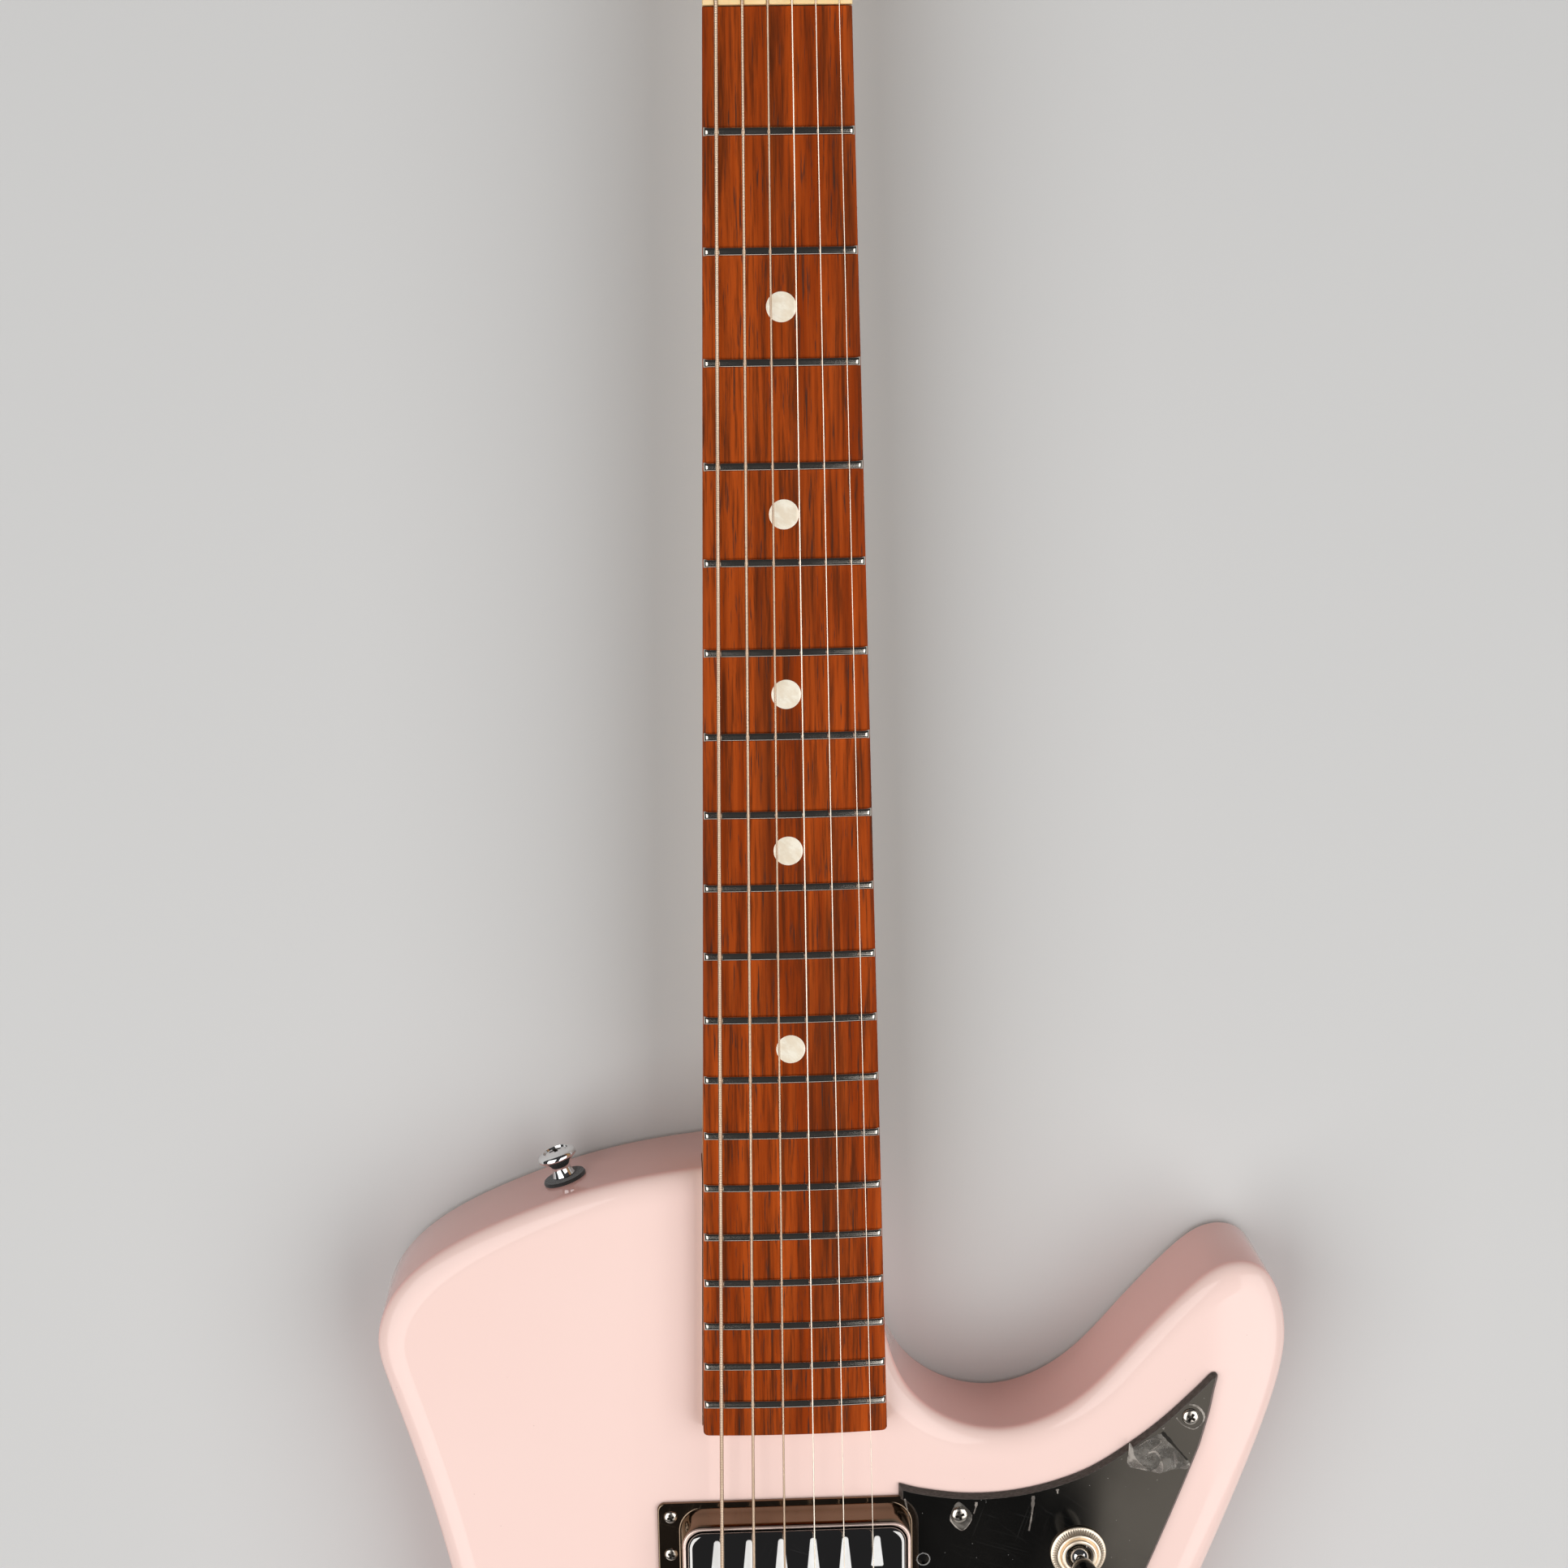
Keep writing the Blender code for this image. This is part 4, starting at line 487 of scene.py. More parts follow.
def pressedFelt(made):
    finish, tree, sockets = newFinish("pressedFelt", Sheen_Weight=0.4)
    fluff = noise(tree, stretched(tree), made["scale"], 4.0, 0.7)
    feed(tree, sockets, Base_Color=blend(tree, fluff, made["dark"], made["fluff"]),
         Roughness=ramp(tree, fluff, 0.2, 0.8, 0.8, 1.0), Normal=bump(tree, fluff, 0.6, 0.0003))
    return finish


floorSet = dict(size=8.0, colour=(0.60, 0.595, 0.585), speckle=0.02)


def paleFloor(made):
    finish, tree, sockets = newFinish("paleFloor", Roughness=0.75)
    cloud = useGroup(tree, smudge, Size=1.2, Low=0.0, High=1.0)
    dim = tuple(part * (1 - made["speckle"]) for part in made["colour"])
    feed(tree, sockets, Base_Color=blend(tree, cloud["Value"], made["colour"], dim))
    return finish


lacquer = pinkLacquer(lacquerSet)
boardWood = rosewood(boardSet)
neckWood = mapleWood(neckWoodSet)
bone = boneBlank(boneSet)
pearl = pearlInlay(pearlSet)
# painted reflection: the pickup rings' nickel is made dark and brown to stand in for reflections of a dark
# room and the fingerboard
darkReflectionNickel = metal("darkReflectionNickel", (0.20, 0.142, 0.098), (0.15, 0.102, 0.068), 0.07, 0.16, 0.7, 0.3)
# painted highlight: a lighter, pinkish, rougher copy of the nickel for the pickup rings' top rim
rimHighlightNickel = metal("rimHighlightNickel", (0.88, 0.69, 0.61), (0.76, 0.58, 0.50), 0.36, 0.48, 0.5, 0.2)
nickel = metal("warmNickel", (0.74, 0.665, 0.575), (0.63, 0.55, 0.46), 0.07, 0.17, 0.7, 0.25)
satinNickel = metal("satinNickel", (0.98, 0.83, 0.66), (0.92, 0.75, 0.58), 0.40, 0.52, 0.6, 0.15)
screwMetal = metal("screwMetal", (0.66, 0.60, 0.53), (0.54, 0.48, 0.41), 0.20, 0.32, 0.5, 0.25)
chrome = metal("brightChrome", (0.80, 0.80, 0.80), (0.70, 0.69, 0.68), 0.05, 0.11, 0.5)
fretMetal = metal("polishedFret", (0.62, 0.575, 0.51), (0.52, 0.475, 0.41), 0.09, 0.15, 0.08)
steel = metal("drawnSteel", (0.72, 0.70, 0.67), (0.58, 0.56, 0.53), 0.20, 0.32, 0.4)
plainWire = metal("plainWire", (0.84, 0.74, 0.62), (0.76, 0.66, 0.54), 0.22, 0.32, 0.3)
brass = metal("yellowBrass", (0.72, 0.52, 0.22), (0.58, 0.40, 0.16), 0.22, 0.34, 0.5)
# painted reflection: a dimmed mirror for the pickup covers, standing in for chrome that reflects a dark room
darkReflectionMirror = metal("darkReflectionMirror", (0.34, 0.33, 0.32), (0.30, 0.29, 0.28), 0.03, 0.06, 0.6)
guardWarp = (0.074, 0.104, 0.042)            # start and end across the guard, and slope
guardBlack = blackPlastic("guardBlack", (0.0035, 0.0036, 0.0036), 0.09, 0.16, 0.25, 0.5, guardWarp)
knobBlack = blackPlastic("knobBlack", (0.012, 0.012, 0.012), 0.16, 0.26, 0.4, 0.25)
tipBlack = blackPlastic("tipBlack", (0.008, 0.008, 0.008), 0.08, 0.15, 0.3, 0.15)
# painted shade for the insides of the screws' cross recesses
recessShade = blackPlastic("recessShade", (0.03, 0.026, 0.022), 0.4, 0.6, 0.2, 0.3)
guardEdge = sawnEdge(scrapeSet)
film = filmScrap("clearFilm", (0.27, 0.245, 0.215), (0.15, 0.136, 0.12), 0.22, 0.42)
crease = filmScrap("creasedFilm", (0.42, 0.375, 0.33), (0.24, 0.21, 0.185), 0.45, 0.85)
whitePlastic = whiteBobbin(bobbinSet)
felt = pressedFelt(feltSet)
print("finishes ready:", len(bpy.data.materials))


# mesh tools

meshSet = dict(weld=1e-7, largestFace=48, sharp=32)
boxCorners = ((1, 1), (-1, 1), (-1, -1), (1, -1))


def closedSpline(knots, steps):
    knots = np.array(knots, float)
    count = len(knots)
    spans = np.sqrt(np.linalg.norm(np.roll(knots, -1, 0) - knots, axis=1))
    bends, pulls = np.zeros((count, count)), np.zeros((count, 2))
    for i in range(count):
        before, after, nxt = spans[i - 1], spans[i], (i + 1) % count
        bends[i, i - 1] += before
        bends[i, i] += 2 * (before + after)
        bends[i, nxt] += after
        pulls[i] = 6 * ((knots[nxt] - knots[i]) / after - (knots[i] - knots[i - 1]) / before)
    curvature = np.linalg.solve(bends, pulls)
    points = []
    for i in range(count):
        nxt = (i + 1) % count
        for step in range(steps):
            b = step / steps
            a = 1 - b
            bow = (a ** 3 - a) * curvature[i] + (b ** 3 - b) * curvature[nxt]
            points.append(a * knots[i] + b * knots[nxt] + bow * spans[i] ** 2 / 6)
    return [(float(x), float(y)) for x, y in points]


def openCurve(knots, steps):
    knots = [Vector(knot) for knot in knots]
    padded = [2 * knots[0] - knots[1]] + knots + [2 * knots[-1] - knots[-2]]
    points = []
    for p0, p1, p2, p3 in zip(padded, padded[1:], padded[2:], padded[3:]):
        for step in range(steps):
            t = step / steps
            points.append(tuple(0.5 * (2 * p1 + (p2 - p0) * t + (2 * p0 - 5 * p1 + 4 * p2 - p3) * t * t
                                       + (3 * p1 - p0 - 3 * p2 + p3) * t ** 3)))
    return points + [tuple(knots[-1])]


def inset(outline, distance):
    corners = [Vector(point) for point in outline]
    inner = []
    for i, corner in enumerate(corners):
        into = (corner - corners[i - 1]).normalized()
        out = (corners[(i + 1) % len(corners)] - corner).normalized()
        mean = (Vector((into.y, -into.x)) + Vector((out.y, -out.x))).normalized()
        mean /= max(mean.dot(Vector((into.y, -into.x))), 0.5)      # a sharp corner moves at most twice as far
        inner.append((corner.x - mean.x * distance, corner.y - mean.y * distance))
    return inner


def uncrossed(outline, distance, keep=0.97):       # an inset whose loops at tight bends are drawn together
    points = inset(outline, distance)
    starts = np.array(outline)
    runs = np.roll(starts, -1, 0) - starts
    sound = []
    for i, point in enumerate(points):
        share = np.clip(((point - starts) * runs).sum(1) / (runs ** 2).sum(1), 0, 1)
        if np.linalg.norm(starts + share[:, None] * runs - point, axis=1).min() > distance * keep:
            sound.append(i)
    count = len(points)
    return [points[min(sound, key=lambda j: min((i - j) % count, (j - i) % count))] for i in range(count)]


def ringPoints(radius, sides, centre=(0, 0)):
    turns = [2 * math.pi * i / sides for i in range(sides)]
    return [(centre[0] + radius * math.cos(a), centre[1] + radius * math.sin(a)) for a in turns]


def roundBox(width, length, corner, steps=8, centre=(0, 0)):
    points = []
    for number, (sx, sy) in enumerate(boxCorners):
        for step in range(steps + 1):
            a = math.pi / 2 * (number + step / steps)
            points.append((centre[0] + sx * (width / 2 - corner) + corner * math.cos(a),
                           centre[1] + sy * (length / 2 - corner) + corner * math.sin(a)))
    return points


def smooth(t):
    t = min(max(t, 0.0), 1.0)
    return t * t * (3 - 2 * t)


def quarterRound(radius, steps):
    turns = [math.pi / 2 * i / steps for i in range(steps + 1)]
    return [(radius * (1 - math.cos(a)), radius * math.sin(a)) for a in turns]


def roundedTop(tall, top, steps, flat, wide=None):          # inset and height of each level of a round edge
    wide = wide or tall
    levels = [(edge * wide / tall, top - tall + rise) for edge, rise in quarterRound(tall, steps)]
    return levels + [(wide + flat, top)]


def roundedFoot(radius, low, steps, flat=0.0):
    levels = [(edge, low + radius - rise) for edge, rise in reversed(quarterRound(radius, steps))]
    return [(radius + flat, low)] + levels if flat else levels


def level(outline, z):
    return [(x, y, z) for x, y in outline]


def loft(loops, ring=False):
    solid = bmesh.new()
    rows = [[solid.verts.new(point) for point in loop] for loop in loops]
    pairs = list(zip(rows, rows[1:]))
    if ring:
        pairs.append((rows[-1], rows[0]))
    else:
        solid.faces.new(list(reversed(rows[0])))
        solid.faces.new(rows[-1])
    for low, high in pairs:
        for i in range(len(low)):
            j = (i + 1) % len(low)
            solid.faces.new((low[i], low[j], high[j], high[i]))
    bmesh.ops.remove_doubles(solid, verts=solid.verts, dist=meshSet["weld"])
    bmesh.ops.recalc_face_normals(solid, faces=solid.faces)
    large = [face for face in solid.faces if len(face.verts) > meshSet["largestFace"]]
    bmesh.ops.triangulate(solid, faces=large)
    return solid


def plate(outline, levels):
    return loft([level(uncrossed(outline, edge) if edge else outline, z) for edge, z in levels])


def prism(outline, low, high):
    return plate(outline, ((0, low), (0, high)))


def bore(radius, sides, centre, low, high):
    return prism(ringPoints(radius, sides, centre), low, high)


def blade(*levels):              # half widths both ways and height of each level
    return loft([[(sx * wide, sy * long, z) for sx, sy in boxCorners] for wide, long, z in levels])


def turned(profile, sides=48, ring=False):
    loops = []
    for row in profile:
        radius, height, flute = (*row, 0.0)[:3]       # a third number is the depth of its flutes
        loop = []
        for i in range(sides):
            a = 2 * math.pi * i / sides
            r = radius - flute * (i // 2 % 2)
            loop.append((r * math.cos(a), r * math.sin(a), height))
        loops.append(loop)
    return loft(loops, ring)


def at(x, y, z=0):
    return Matrix.Translation((x, y, z))


def spun(angle, axis='Z'):
    return Matrix.Rotation(angle, 4, axis)


def moved(solid, matrix):
    bmesh.ops.transform(solid, matrix=matrix, verts=solid.verts)
    return solid


def merged(parts):
    whole = bmesh.new()
    for part in parts:
        spare = bpy.data.meshes.new("spare")
        part.to_mesh(spare)
        part.free()
        whole.from_mesh(spare)
        bpy.data.meshes.remove(spare)
    return whole


def secondFinish(solid, chosen):
    for face in solid.faces:
        face.material_index = int(chosen(face))
    return solid


def isEdge(face, upright=0.9):
    return abs(face.normal.z) < upright


def soften(mesh, sharp):
    mesh.shade_smooth()
    mesh.set_sharp_from_angle(angle=math.radians(sharp))
    return mesh


def toMesh(name, solid, finishes, sharp=meshSet["sharp"], cuts=()):
    mesh = bpy.data.meshes.new(name)
    solid.to_mesh(mesh)
    solid.free()
    for finish in finishes if isinstance(finishes, tuple) else (finishes,):
        mesh.materials.append(finish)
    soften(mesh, sharp)
    return carved(mesh, cuts, sharp) if cuts else mesh


def carved(mesh, cuts, sharp):
    target = toScene("carveTarget", mesh)
    spares = [target]
    for cut in cuts:
        helper = toScene("carveHelper", toMesh("carveHelper", cut, tuple(mesh.materials)))
        step = target.modifiers.new("carve", 'BOOLEAN')
        step.operation = 'DIFFERENCE'
        step.solver = 'EXACT'
        step.object = helper
        spares.append(helper)
    bpy.context.view_layer.update()
    result = bpy.data.meshes.new_from_object(target.evaluated_get(bpy.context.evaluated_depsgraph_get()))
    for spare in spares:
        old = spare.data
        bpy.data.objects.remove(spare)
        bpy.data.meshes.remove(old)
    return soften(result, sharp)


def show(name, data, node=None, body=root, place=None):
    piece = toScene(name, data)
    if place is not None:
        piece.matrix_world = place
    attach(piece, body)
    if node:
        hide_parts(node)


def build(name, solid, finishes, node=None, body=root, place=None, sharp=meshSet["sharp"], cuts=()):
    show(name, toMesh(name, solid, finishes, sharp, cuts), node, body, place)


def onAxis(place, axis):
    return Matrix.Translation(place) @ Vector(axis).to_track_quat('Z', 'Y').to_matrix().to_4x4()


def middle(node):
    low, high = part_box(node)
    return (low + high) / 2


# cross-recess screws, one mesh for each size

screwSet = dict(
    sides=32, recessLength=1.35, recessWidth=0.40, recessDepth=0.8, recessFoot=(0.55, 0.6),
    recessTurn=0.3, recessOver=0.2,
    dome=((0.97, 0), (1, 0.18), (0.98, 0.36), (0.90, 0.62), (0.74, 0.84), (0.5, 0.96), (0.2, 1)),
)


def crossScrew(name, radius, height, finish, made):
    dome = [(radius * across, height * rise) for across, rise in made["dome"]]
    long, wide = radius * made["recessLength"] / 2, radius * made["recessWidth"] / 2
    footLong, footWide = made["recessFoot"]
    cuts = []
    for turn in (0, math.pi / 2):
        cut = blade((long * footLong, wide * footWide, height - height * made["recessDepth"]),
                    (long, wide, height + radius * made["recessOver"]))
        # the recess faces take the painted recess shade
        secondFinish(cut, lambda face: True)
        cuts.append(moved(cut, spun(turn + made["recessTurn"])))
    return toMesh(name, turned(dome, made["sides"]), (finish, recessShade), cuts=cuts)


guardScrew = crossScrew("guardScrew", 0.0027, 0.0012, screwMetal, screwSet)
ringScrew = crossScrew("ringScrew", 0.0021, 0.0009, screwMetal, screwSet)
plateScrew = crossScrew("plateScrew", 0.0041, 0.0016, chrome, screwSet)
smallScrew = crossScrew("smallScrew", 0.0015, 0.0008, chrome, screwSet)
screwSink = 0.0001               # how far a head sits below the face around it
print("screws ready")


# floor

floorMesh = bpy.data.meshes.new("floor")
side = floorSet["size"] / 2
corners = [(-side, -side, 0), (side, -side, 0), (side, side, 0), (-side, side, 0)]
floorMesh.from_pydata(corners, [], [(0, 1, 2, 3)])
floorMesh.materials.append(paleFloor(floorSet))
floor = toScene("floor", floorMesh)


# measures shared by several pieces

boardLow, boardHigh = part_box("fingerboard")
nutLow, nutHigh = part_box("nut")
plateLow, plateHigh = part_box("neck_plate")
tailLow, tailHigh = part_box("tailpiece")
bridgeLow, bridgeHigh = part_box("bridge")
guardLow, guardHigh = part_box("pickguard")
jackPlace = middle("output_jack")
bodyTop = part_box("body")[1].z
boardEnd, boardStart = boardLow.y, boardHigh.y
boardFoot = boardLow.z
neckTop = boardFoot - gap
tailY, tailZ = (tailLow.y + tailHigh.y) / 2, (tailLow.z + tailHigh.z) / 2
tailWidth = tailHigh.y - tailLow.y
scaleSet = dict(length=0.628, frets=19, nutWidth=0.042, endWidth=0.057, boardTop=0.0513, crown=0.305)
postAxis = Vector(joints["tuner_post_1_turn"]["axis"])
headFrame = at(0, nutHigh.y, neckTop) @ spun(-math.atan2(postAxis.y, postAxis.z), 'X')


def boardHalf(y):
    share = (boardStart - y) / (boardStart - boardEnd)
    return (scaleSet["nutWidth"] + (scaleSet["endWidth"] - scaleSet["nutWidth"]) * share) / 2


def boardZ(x):
    return scaleSet["boardTop"] - scaleSet["crown"] + math.sqrt(scaleSet["crown"] ** 2 - x * x)


def fretY(number):
    return scaleSet["length"] * 2 ** (-number / 12)


# body

bodySet = dict(
    knots=(      # metres, anticlockwise from the neck's bass side
        (-0.028, 0.2823), (-0.058, 0.2773), (-0.088, 0.2674), (-0.110, 0.2563), (-0.1235, 0.2435),
        (-0.1287, 0.229), (-0.1253, 0.2125), (-0.1159, 0.181), (-0.108, 0.148), (-0.104, 0.112),
        (-0.112, 0.076), (-0.133, 0.038), (-0.152, 0.0), (-0.159, -0.042), (-0.143, -0.088),
        (-0.100, -0.116), (-0.045, -0.1245), (0.015, -0.1245), (0.078, -0.115), (0.128, -0.088),
        (0.150, -0.044), (0.147, 0.0), (0.131, 0.038), (0.117, 0.074), (0.1175, 0.108),
        (0.1295, 0.142), (0.1435, 0.1775), (0.1538, 0.21), (0.1546, 0.229), (0.1475, 0.2443),
        (0.1365, 0.2463), (0.125, 0.239), (0.1075, 0.2208), (0.089, 0.2022), (0.066, 0.1935),
        (0.045, 0.1996), (0.0332, 0.2131), (0.027, 0.236), (0.017, 0.264), (-0.002, 0.281),
    ),
    steps=9, frontRound=(0.0086, 0.0052), backRound=0.004, flatStart=0.0006, cutOver=0.01,
    pocketDepth=0.017, pocketSpace=0.00025, plateCorner=0.0048, jackRoom=0.0072, jackDepth=0.026,
)
bodyOutline = closedSpline(bodySet["knots"], bodySet["steps"])


def makeBody(made):
    wide, tall = made["frontRound"]
    levels = roundedFoot(made["backRound"], 0, 6, made["flatStart"])
    levels += roundedTop(tall, bodyTop, 14, made["flatStart"], wide)
    above = bodyTop + made["cutOver"]
    far = max(y for x, y in bodyOutline) + made["cutOver"]
    near = boardEnd - made["pocketSpace"]
    corners = ((-1, near), (1, near), (1, far), (-1, far))
    pocket = [(s * (boardHalf(y) + made["pocketSpace"]), y) for s, y in corners]
    size = plateHigh - plateLow
    recess = roundBox(size.x + 2 * gap, size.y + 2 * gap, made["plateCorner"], 8, middle("neck_plate").xy)
    cuts = [prism(pocket, bodyTop - made["pocketDepth"], above),
            prism(recess, -made["cutOver"], plateHigh.z + gap),
            bore(made["jackRoom"], 32, jackPlace.xy, bodyTop - made["jackDepth"], above)]
    build("bodyShell", plate(bodyOutline, levels), lacquer, "body", sharp=40, cuts=cuts)


makeBody(bodySet)
print("body done")


# neck and headstock in one sweep

neckSet = dict(
    heelDepth=0.0197, heelSquare=14, heelRunout=0.008, heelBlend=0.036, heelSteps=12,
    shaftDepth=0.016, nutDepth=0.014, shaftSquare=2.2, shaftSteps=10, edge=0.0002,
    headLength=0.172, headDepth=0.014, headSquare=34, headBlend=0.05, headEdge=0.0012,
    headSteps=40, tipSteps=24, flare=0.03, shoulder=0.0003, margin=0.0115,
    postX=0.024, postFirst=0.038, postStep=0.042, postSpread=0.0015, arc=28,
)
lastPost = neckSet["postFirst"] + 2 * neckSet["postStep"]


def headHalf(s, made):
    start = scaleSet["nutWidth"] / 2 + made["shoulder"]

    def edge(y):
        spread = made["postSpread"] * (y - made["postFirst"]) / made["postStep"]
        return made["postX"] + spread + made["margin"]

    if s < made["flare"]:
        return start + (edge(made["flare"]) - start) * smooth(s / made["flare"])
    if s < lastPost:
        return edge(s)
    lift = min((s - lastPost) / (made["headLength"] - lastPost), 0.9999)       # the tip keeps some width
    return edge(lastPost) * math.cos(math.asin(lift)) ** 0.5


def neckSection(half, depth, square, edge, made):
    edge = min(edge, half * 0.4)
    turns = (0.0, math.pi / 6, math.pi / 3)
    points = [(half - edge + edge * math.sin(a), -edge + edge * math.cos(a)) for a in turns]
    for step in range(made["arc"] + 1):
        angle = math.pi * step / made["arc"]
        across = math.copysign(abs(math.cos(angle)) ** (2 / square), math.cos(angle))
        points.append((half * across, -edge - (depth - edge) * abs(math.sin(angle)) ** (2 / square)))
    return points + [(-x, z) for x, z in reversed(points[:3])]


def makeNeck(made):
    heel, shaft, edge = made["heelDepth"], made["shaftDepth"], made["edge"]
    heelSquare, shaftSquare = made["heelSquare"], made["shaftSquare"]
    heelEnd = max(y for x, y in bodyOutline if abs(x) < scaleSet["endWidth"] / 2) + made["heelRunout"]
    blendEnd = heelEnd + made["heelBlend"]
    rows = [(y, heel, heelSquare) for y in (boardEnd, (boardEnd + heelEnd) / 2, heelEnd)]
    for step in range(1, made["heelSteps"] + 1):
        share = smooth(step / made["heelSteps"])
        rows.append((heelEnd + made["heelBlend"] * step / made["heelSteps"], heel + (shaft - heel) * share,
                     heelSquare ** (1 - share) * shaftSquare ** share))
    for step in range(1, made["shaftSteps"] + 1):
        share = step / made["shaftSteps"]
        depth = shaft + (made["nutDepth"] - shaft) * share
        rows.append((blendEnd + (nutHigh.y - blendEnd) * share, depth, shaftSquare))
    loops = []
    for y, depth, square in rows:
        loops.append([(x, y, neckTop + z) for x, z in neckSection(boardHalf(y), depth, square, edge, made)])
    runs = [lastPost * i / made["headSteps"] for i in range(1, made["headSteps"] + 1)]
    for i in range(1, made["tipSteps"] + 1):
        runs.append(lastPost + (made["headLength"] - lastPost) * math.sin(math.pi / 2 * i / made["tipSteps"]))
    for s in runs:
        share = smooth(s / made["headBlend"])
        square = shaftSquare ** (1 - share) * made["headSquare"] ** share
        rim = edge + (made["headEdge"] - edge) * share
        section = neckSection(headHalf(s, made), made["headDepth"], square, rim, made)
        loops.append([headFrame @ Vector((x, s, z)) for x, z in section])
    build("neckAndHead", loft(loops), neckWood, "neck", sharp=50)


makeNeck(neckSet)
print("neck done")


# fingerboard, frets, inlays and nut

fingerboardSet = dict(
    corner=0.0012, cornerSteps=8, edge=0.0005, across=28, along=24,
    dotFrets=(3, 5, 7, 9, 12), dotRadius=0.00435, dotSides=48, dotSunk=0.0004, dotRim=0.00001,
    dotProud=0.00004, dotRings=(0.97, 0.66, 0.33, 0.02),
)
fretSet = dict(
    width=0.0026, height=0.0012, sunk=0.0004, across=18, arc=10, endSlope=0.0011, inset=0.0002,
    ends=((0.0, 0.30), (0.35, 0.72), (0.7, 0.93), (0.95, 1.0), (1.15, 1.0)), crown=0.8,
)


def boardLoop(y, half, made):
    edge, count = made["edge"], made["across"]
    rim, cut = boardZ(half), edge * 0.3
    side = [(half, y, boardFoot), (half, y, rim - edge), (half - cut, y, rim - cut)]
    top = [(half - edge) * (1 - 2 * i / count) for i in range(count + 1)]
    return side + [(x, y, boardZ(x)) for x in top] + [(-x, y, z) for x, y, z in reversed(side)]


def makeFingerboard(made):
    corner = made["corner"]
    loops = []
    for step in range(made["cornerSteps"] + 1):
        angle = math.pi / 2 * step / made["cornerSteps"]
        y = boardEnd + corner * (1 - math.cos(angle))
        loops.append(boardLoop(y, boardHalf(y) - corner * (1 - math.sin(angle)), made))
    for y in np.linspace(boardEnd + corner * 1.5, boardStart, made["along"]):
        loops.append(boardLoop(y, boardHalf(y), made))
    build("fingerboardWood", loft(loops), boardWood, "fingerboard")


def makeFrets(made):
    frets = []
    half, slope = made["width"] / 2, made["endSlope"]
    for number in range(1, scaleSet["frets"] + 1):
        y = fretY(number)
        reach = boardHalf(y) - made["inset"]
        runs = [(-reach + slope * share, tall) for share, tall in made["ends"]]
        inner = reach - slope * made["ends"][-1][0]
        runs += [(x, 1.0) for x in np.linspace(-inner, inner, made["across"])[1:-1]]
        runs += [(-x, tall) for x, tall in reversed(runs[:len(made["ends"])])]
        loops = []
        for x, tall in runs:
            loop = []
            for step in range(made["arc"] + 1):
                angle = math.pi * step / made["arc"]
                rise = made["height"] * tall * math.sin(angle) ** made["crown"]
                loop.append((x, y + half * math.cos(angle), boardZ(x) + rise))
            low = boardZ(x) - made["sunk"]
            loops.append(loop + [(x, y - half, low), (x, y + half, low)])
        frets.append(loft(loops))
    build("fretWires", merged(frets), fretMetal, sharp=55)


def makeDots(made):
    rows = [(1.0, -made["dotSunk"]), (1.0, made["dotRim"])]
    rows += [(share, made["dotProud"]) for share in made["dotRings"]]
    dots = []
    for number in made["dotFrets"]:
        centre = (0, (fretY(number) + fretY(number - 1)) / 2)
        loops = []
        for share, lift in rows:
            ring = ringPoints(made["dotRadius"] * share, made["dotSides"], centre)
            loops.append([(x, y, boardZ(x) + lift) for x, y in ring])
        dots.append(loft(loops))
    build("pearlDots", merged(dots), pearl)


stringSet = dict(
    gauges=(0.00117, 0.00091, 0.00066, 0.00043, 0.00033, 0.00025),   # bass to treble
    spread=0.0515, nutInset=0.00375, nutLift=0.0017, bridgeLift=0.005,
    setbackBass=0.0032, setbackTreble=0.0006, turns=2.25, turnPoints=28, turnSpace=0.0005,
    wrapHeight=0.0055, post=0.003, wound=3, wrapShare=0.34, restRun=0.0008, restFall=0.00025,
)
stringCount = len(stringSet["gauges"])


def evenGaps(number, span):
    radii = [gauge / 2 for gauge in stringSet["gauges"]]
    steps = [a + b for a, b in zip(radii, radii[1:])]
    room = (span - sum(steps)) / len(steps)
    return -span / 2 + number * room + sum(steps[:number])


def nutX(number):
    return evenGaps(number, scaleSet["nutWidth"] - 2 * stringSet["nutInset"])


def bridgeX(number):
    return evenGaps(number, stringSet["spread"])


def underNut(number):
    return boardZ(nutX(number)) + stringSet["nutLift"]


def underBridge(number):
    return boardZ(bridgeX(number)) + stringSet["bridgeLift"]


def setback(number):
    bass, treble = stringSet["setbackBass"], stringSet["setbackTreble"]
    return bass + (treble - bass) * number / (stringCount - 1)


nutSet = dict(
    edge=0.0006, proud=0.00035, slotSpace=0.0001, slotSunk=0.00005, slotEdge=1.5,
    slot=((1, 0.7), (0.6, 0.15), (0, 0), (-0.6, 0.15), (-1, 0.7)),      # shares of half a slot's width
    front=((0, 1), (0.3, 0.3), (1, 0)), back=((1.6, 0.4), (0.4, 1.0), (0, 1.8)),    # shares of the edge
)


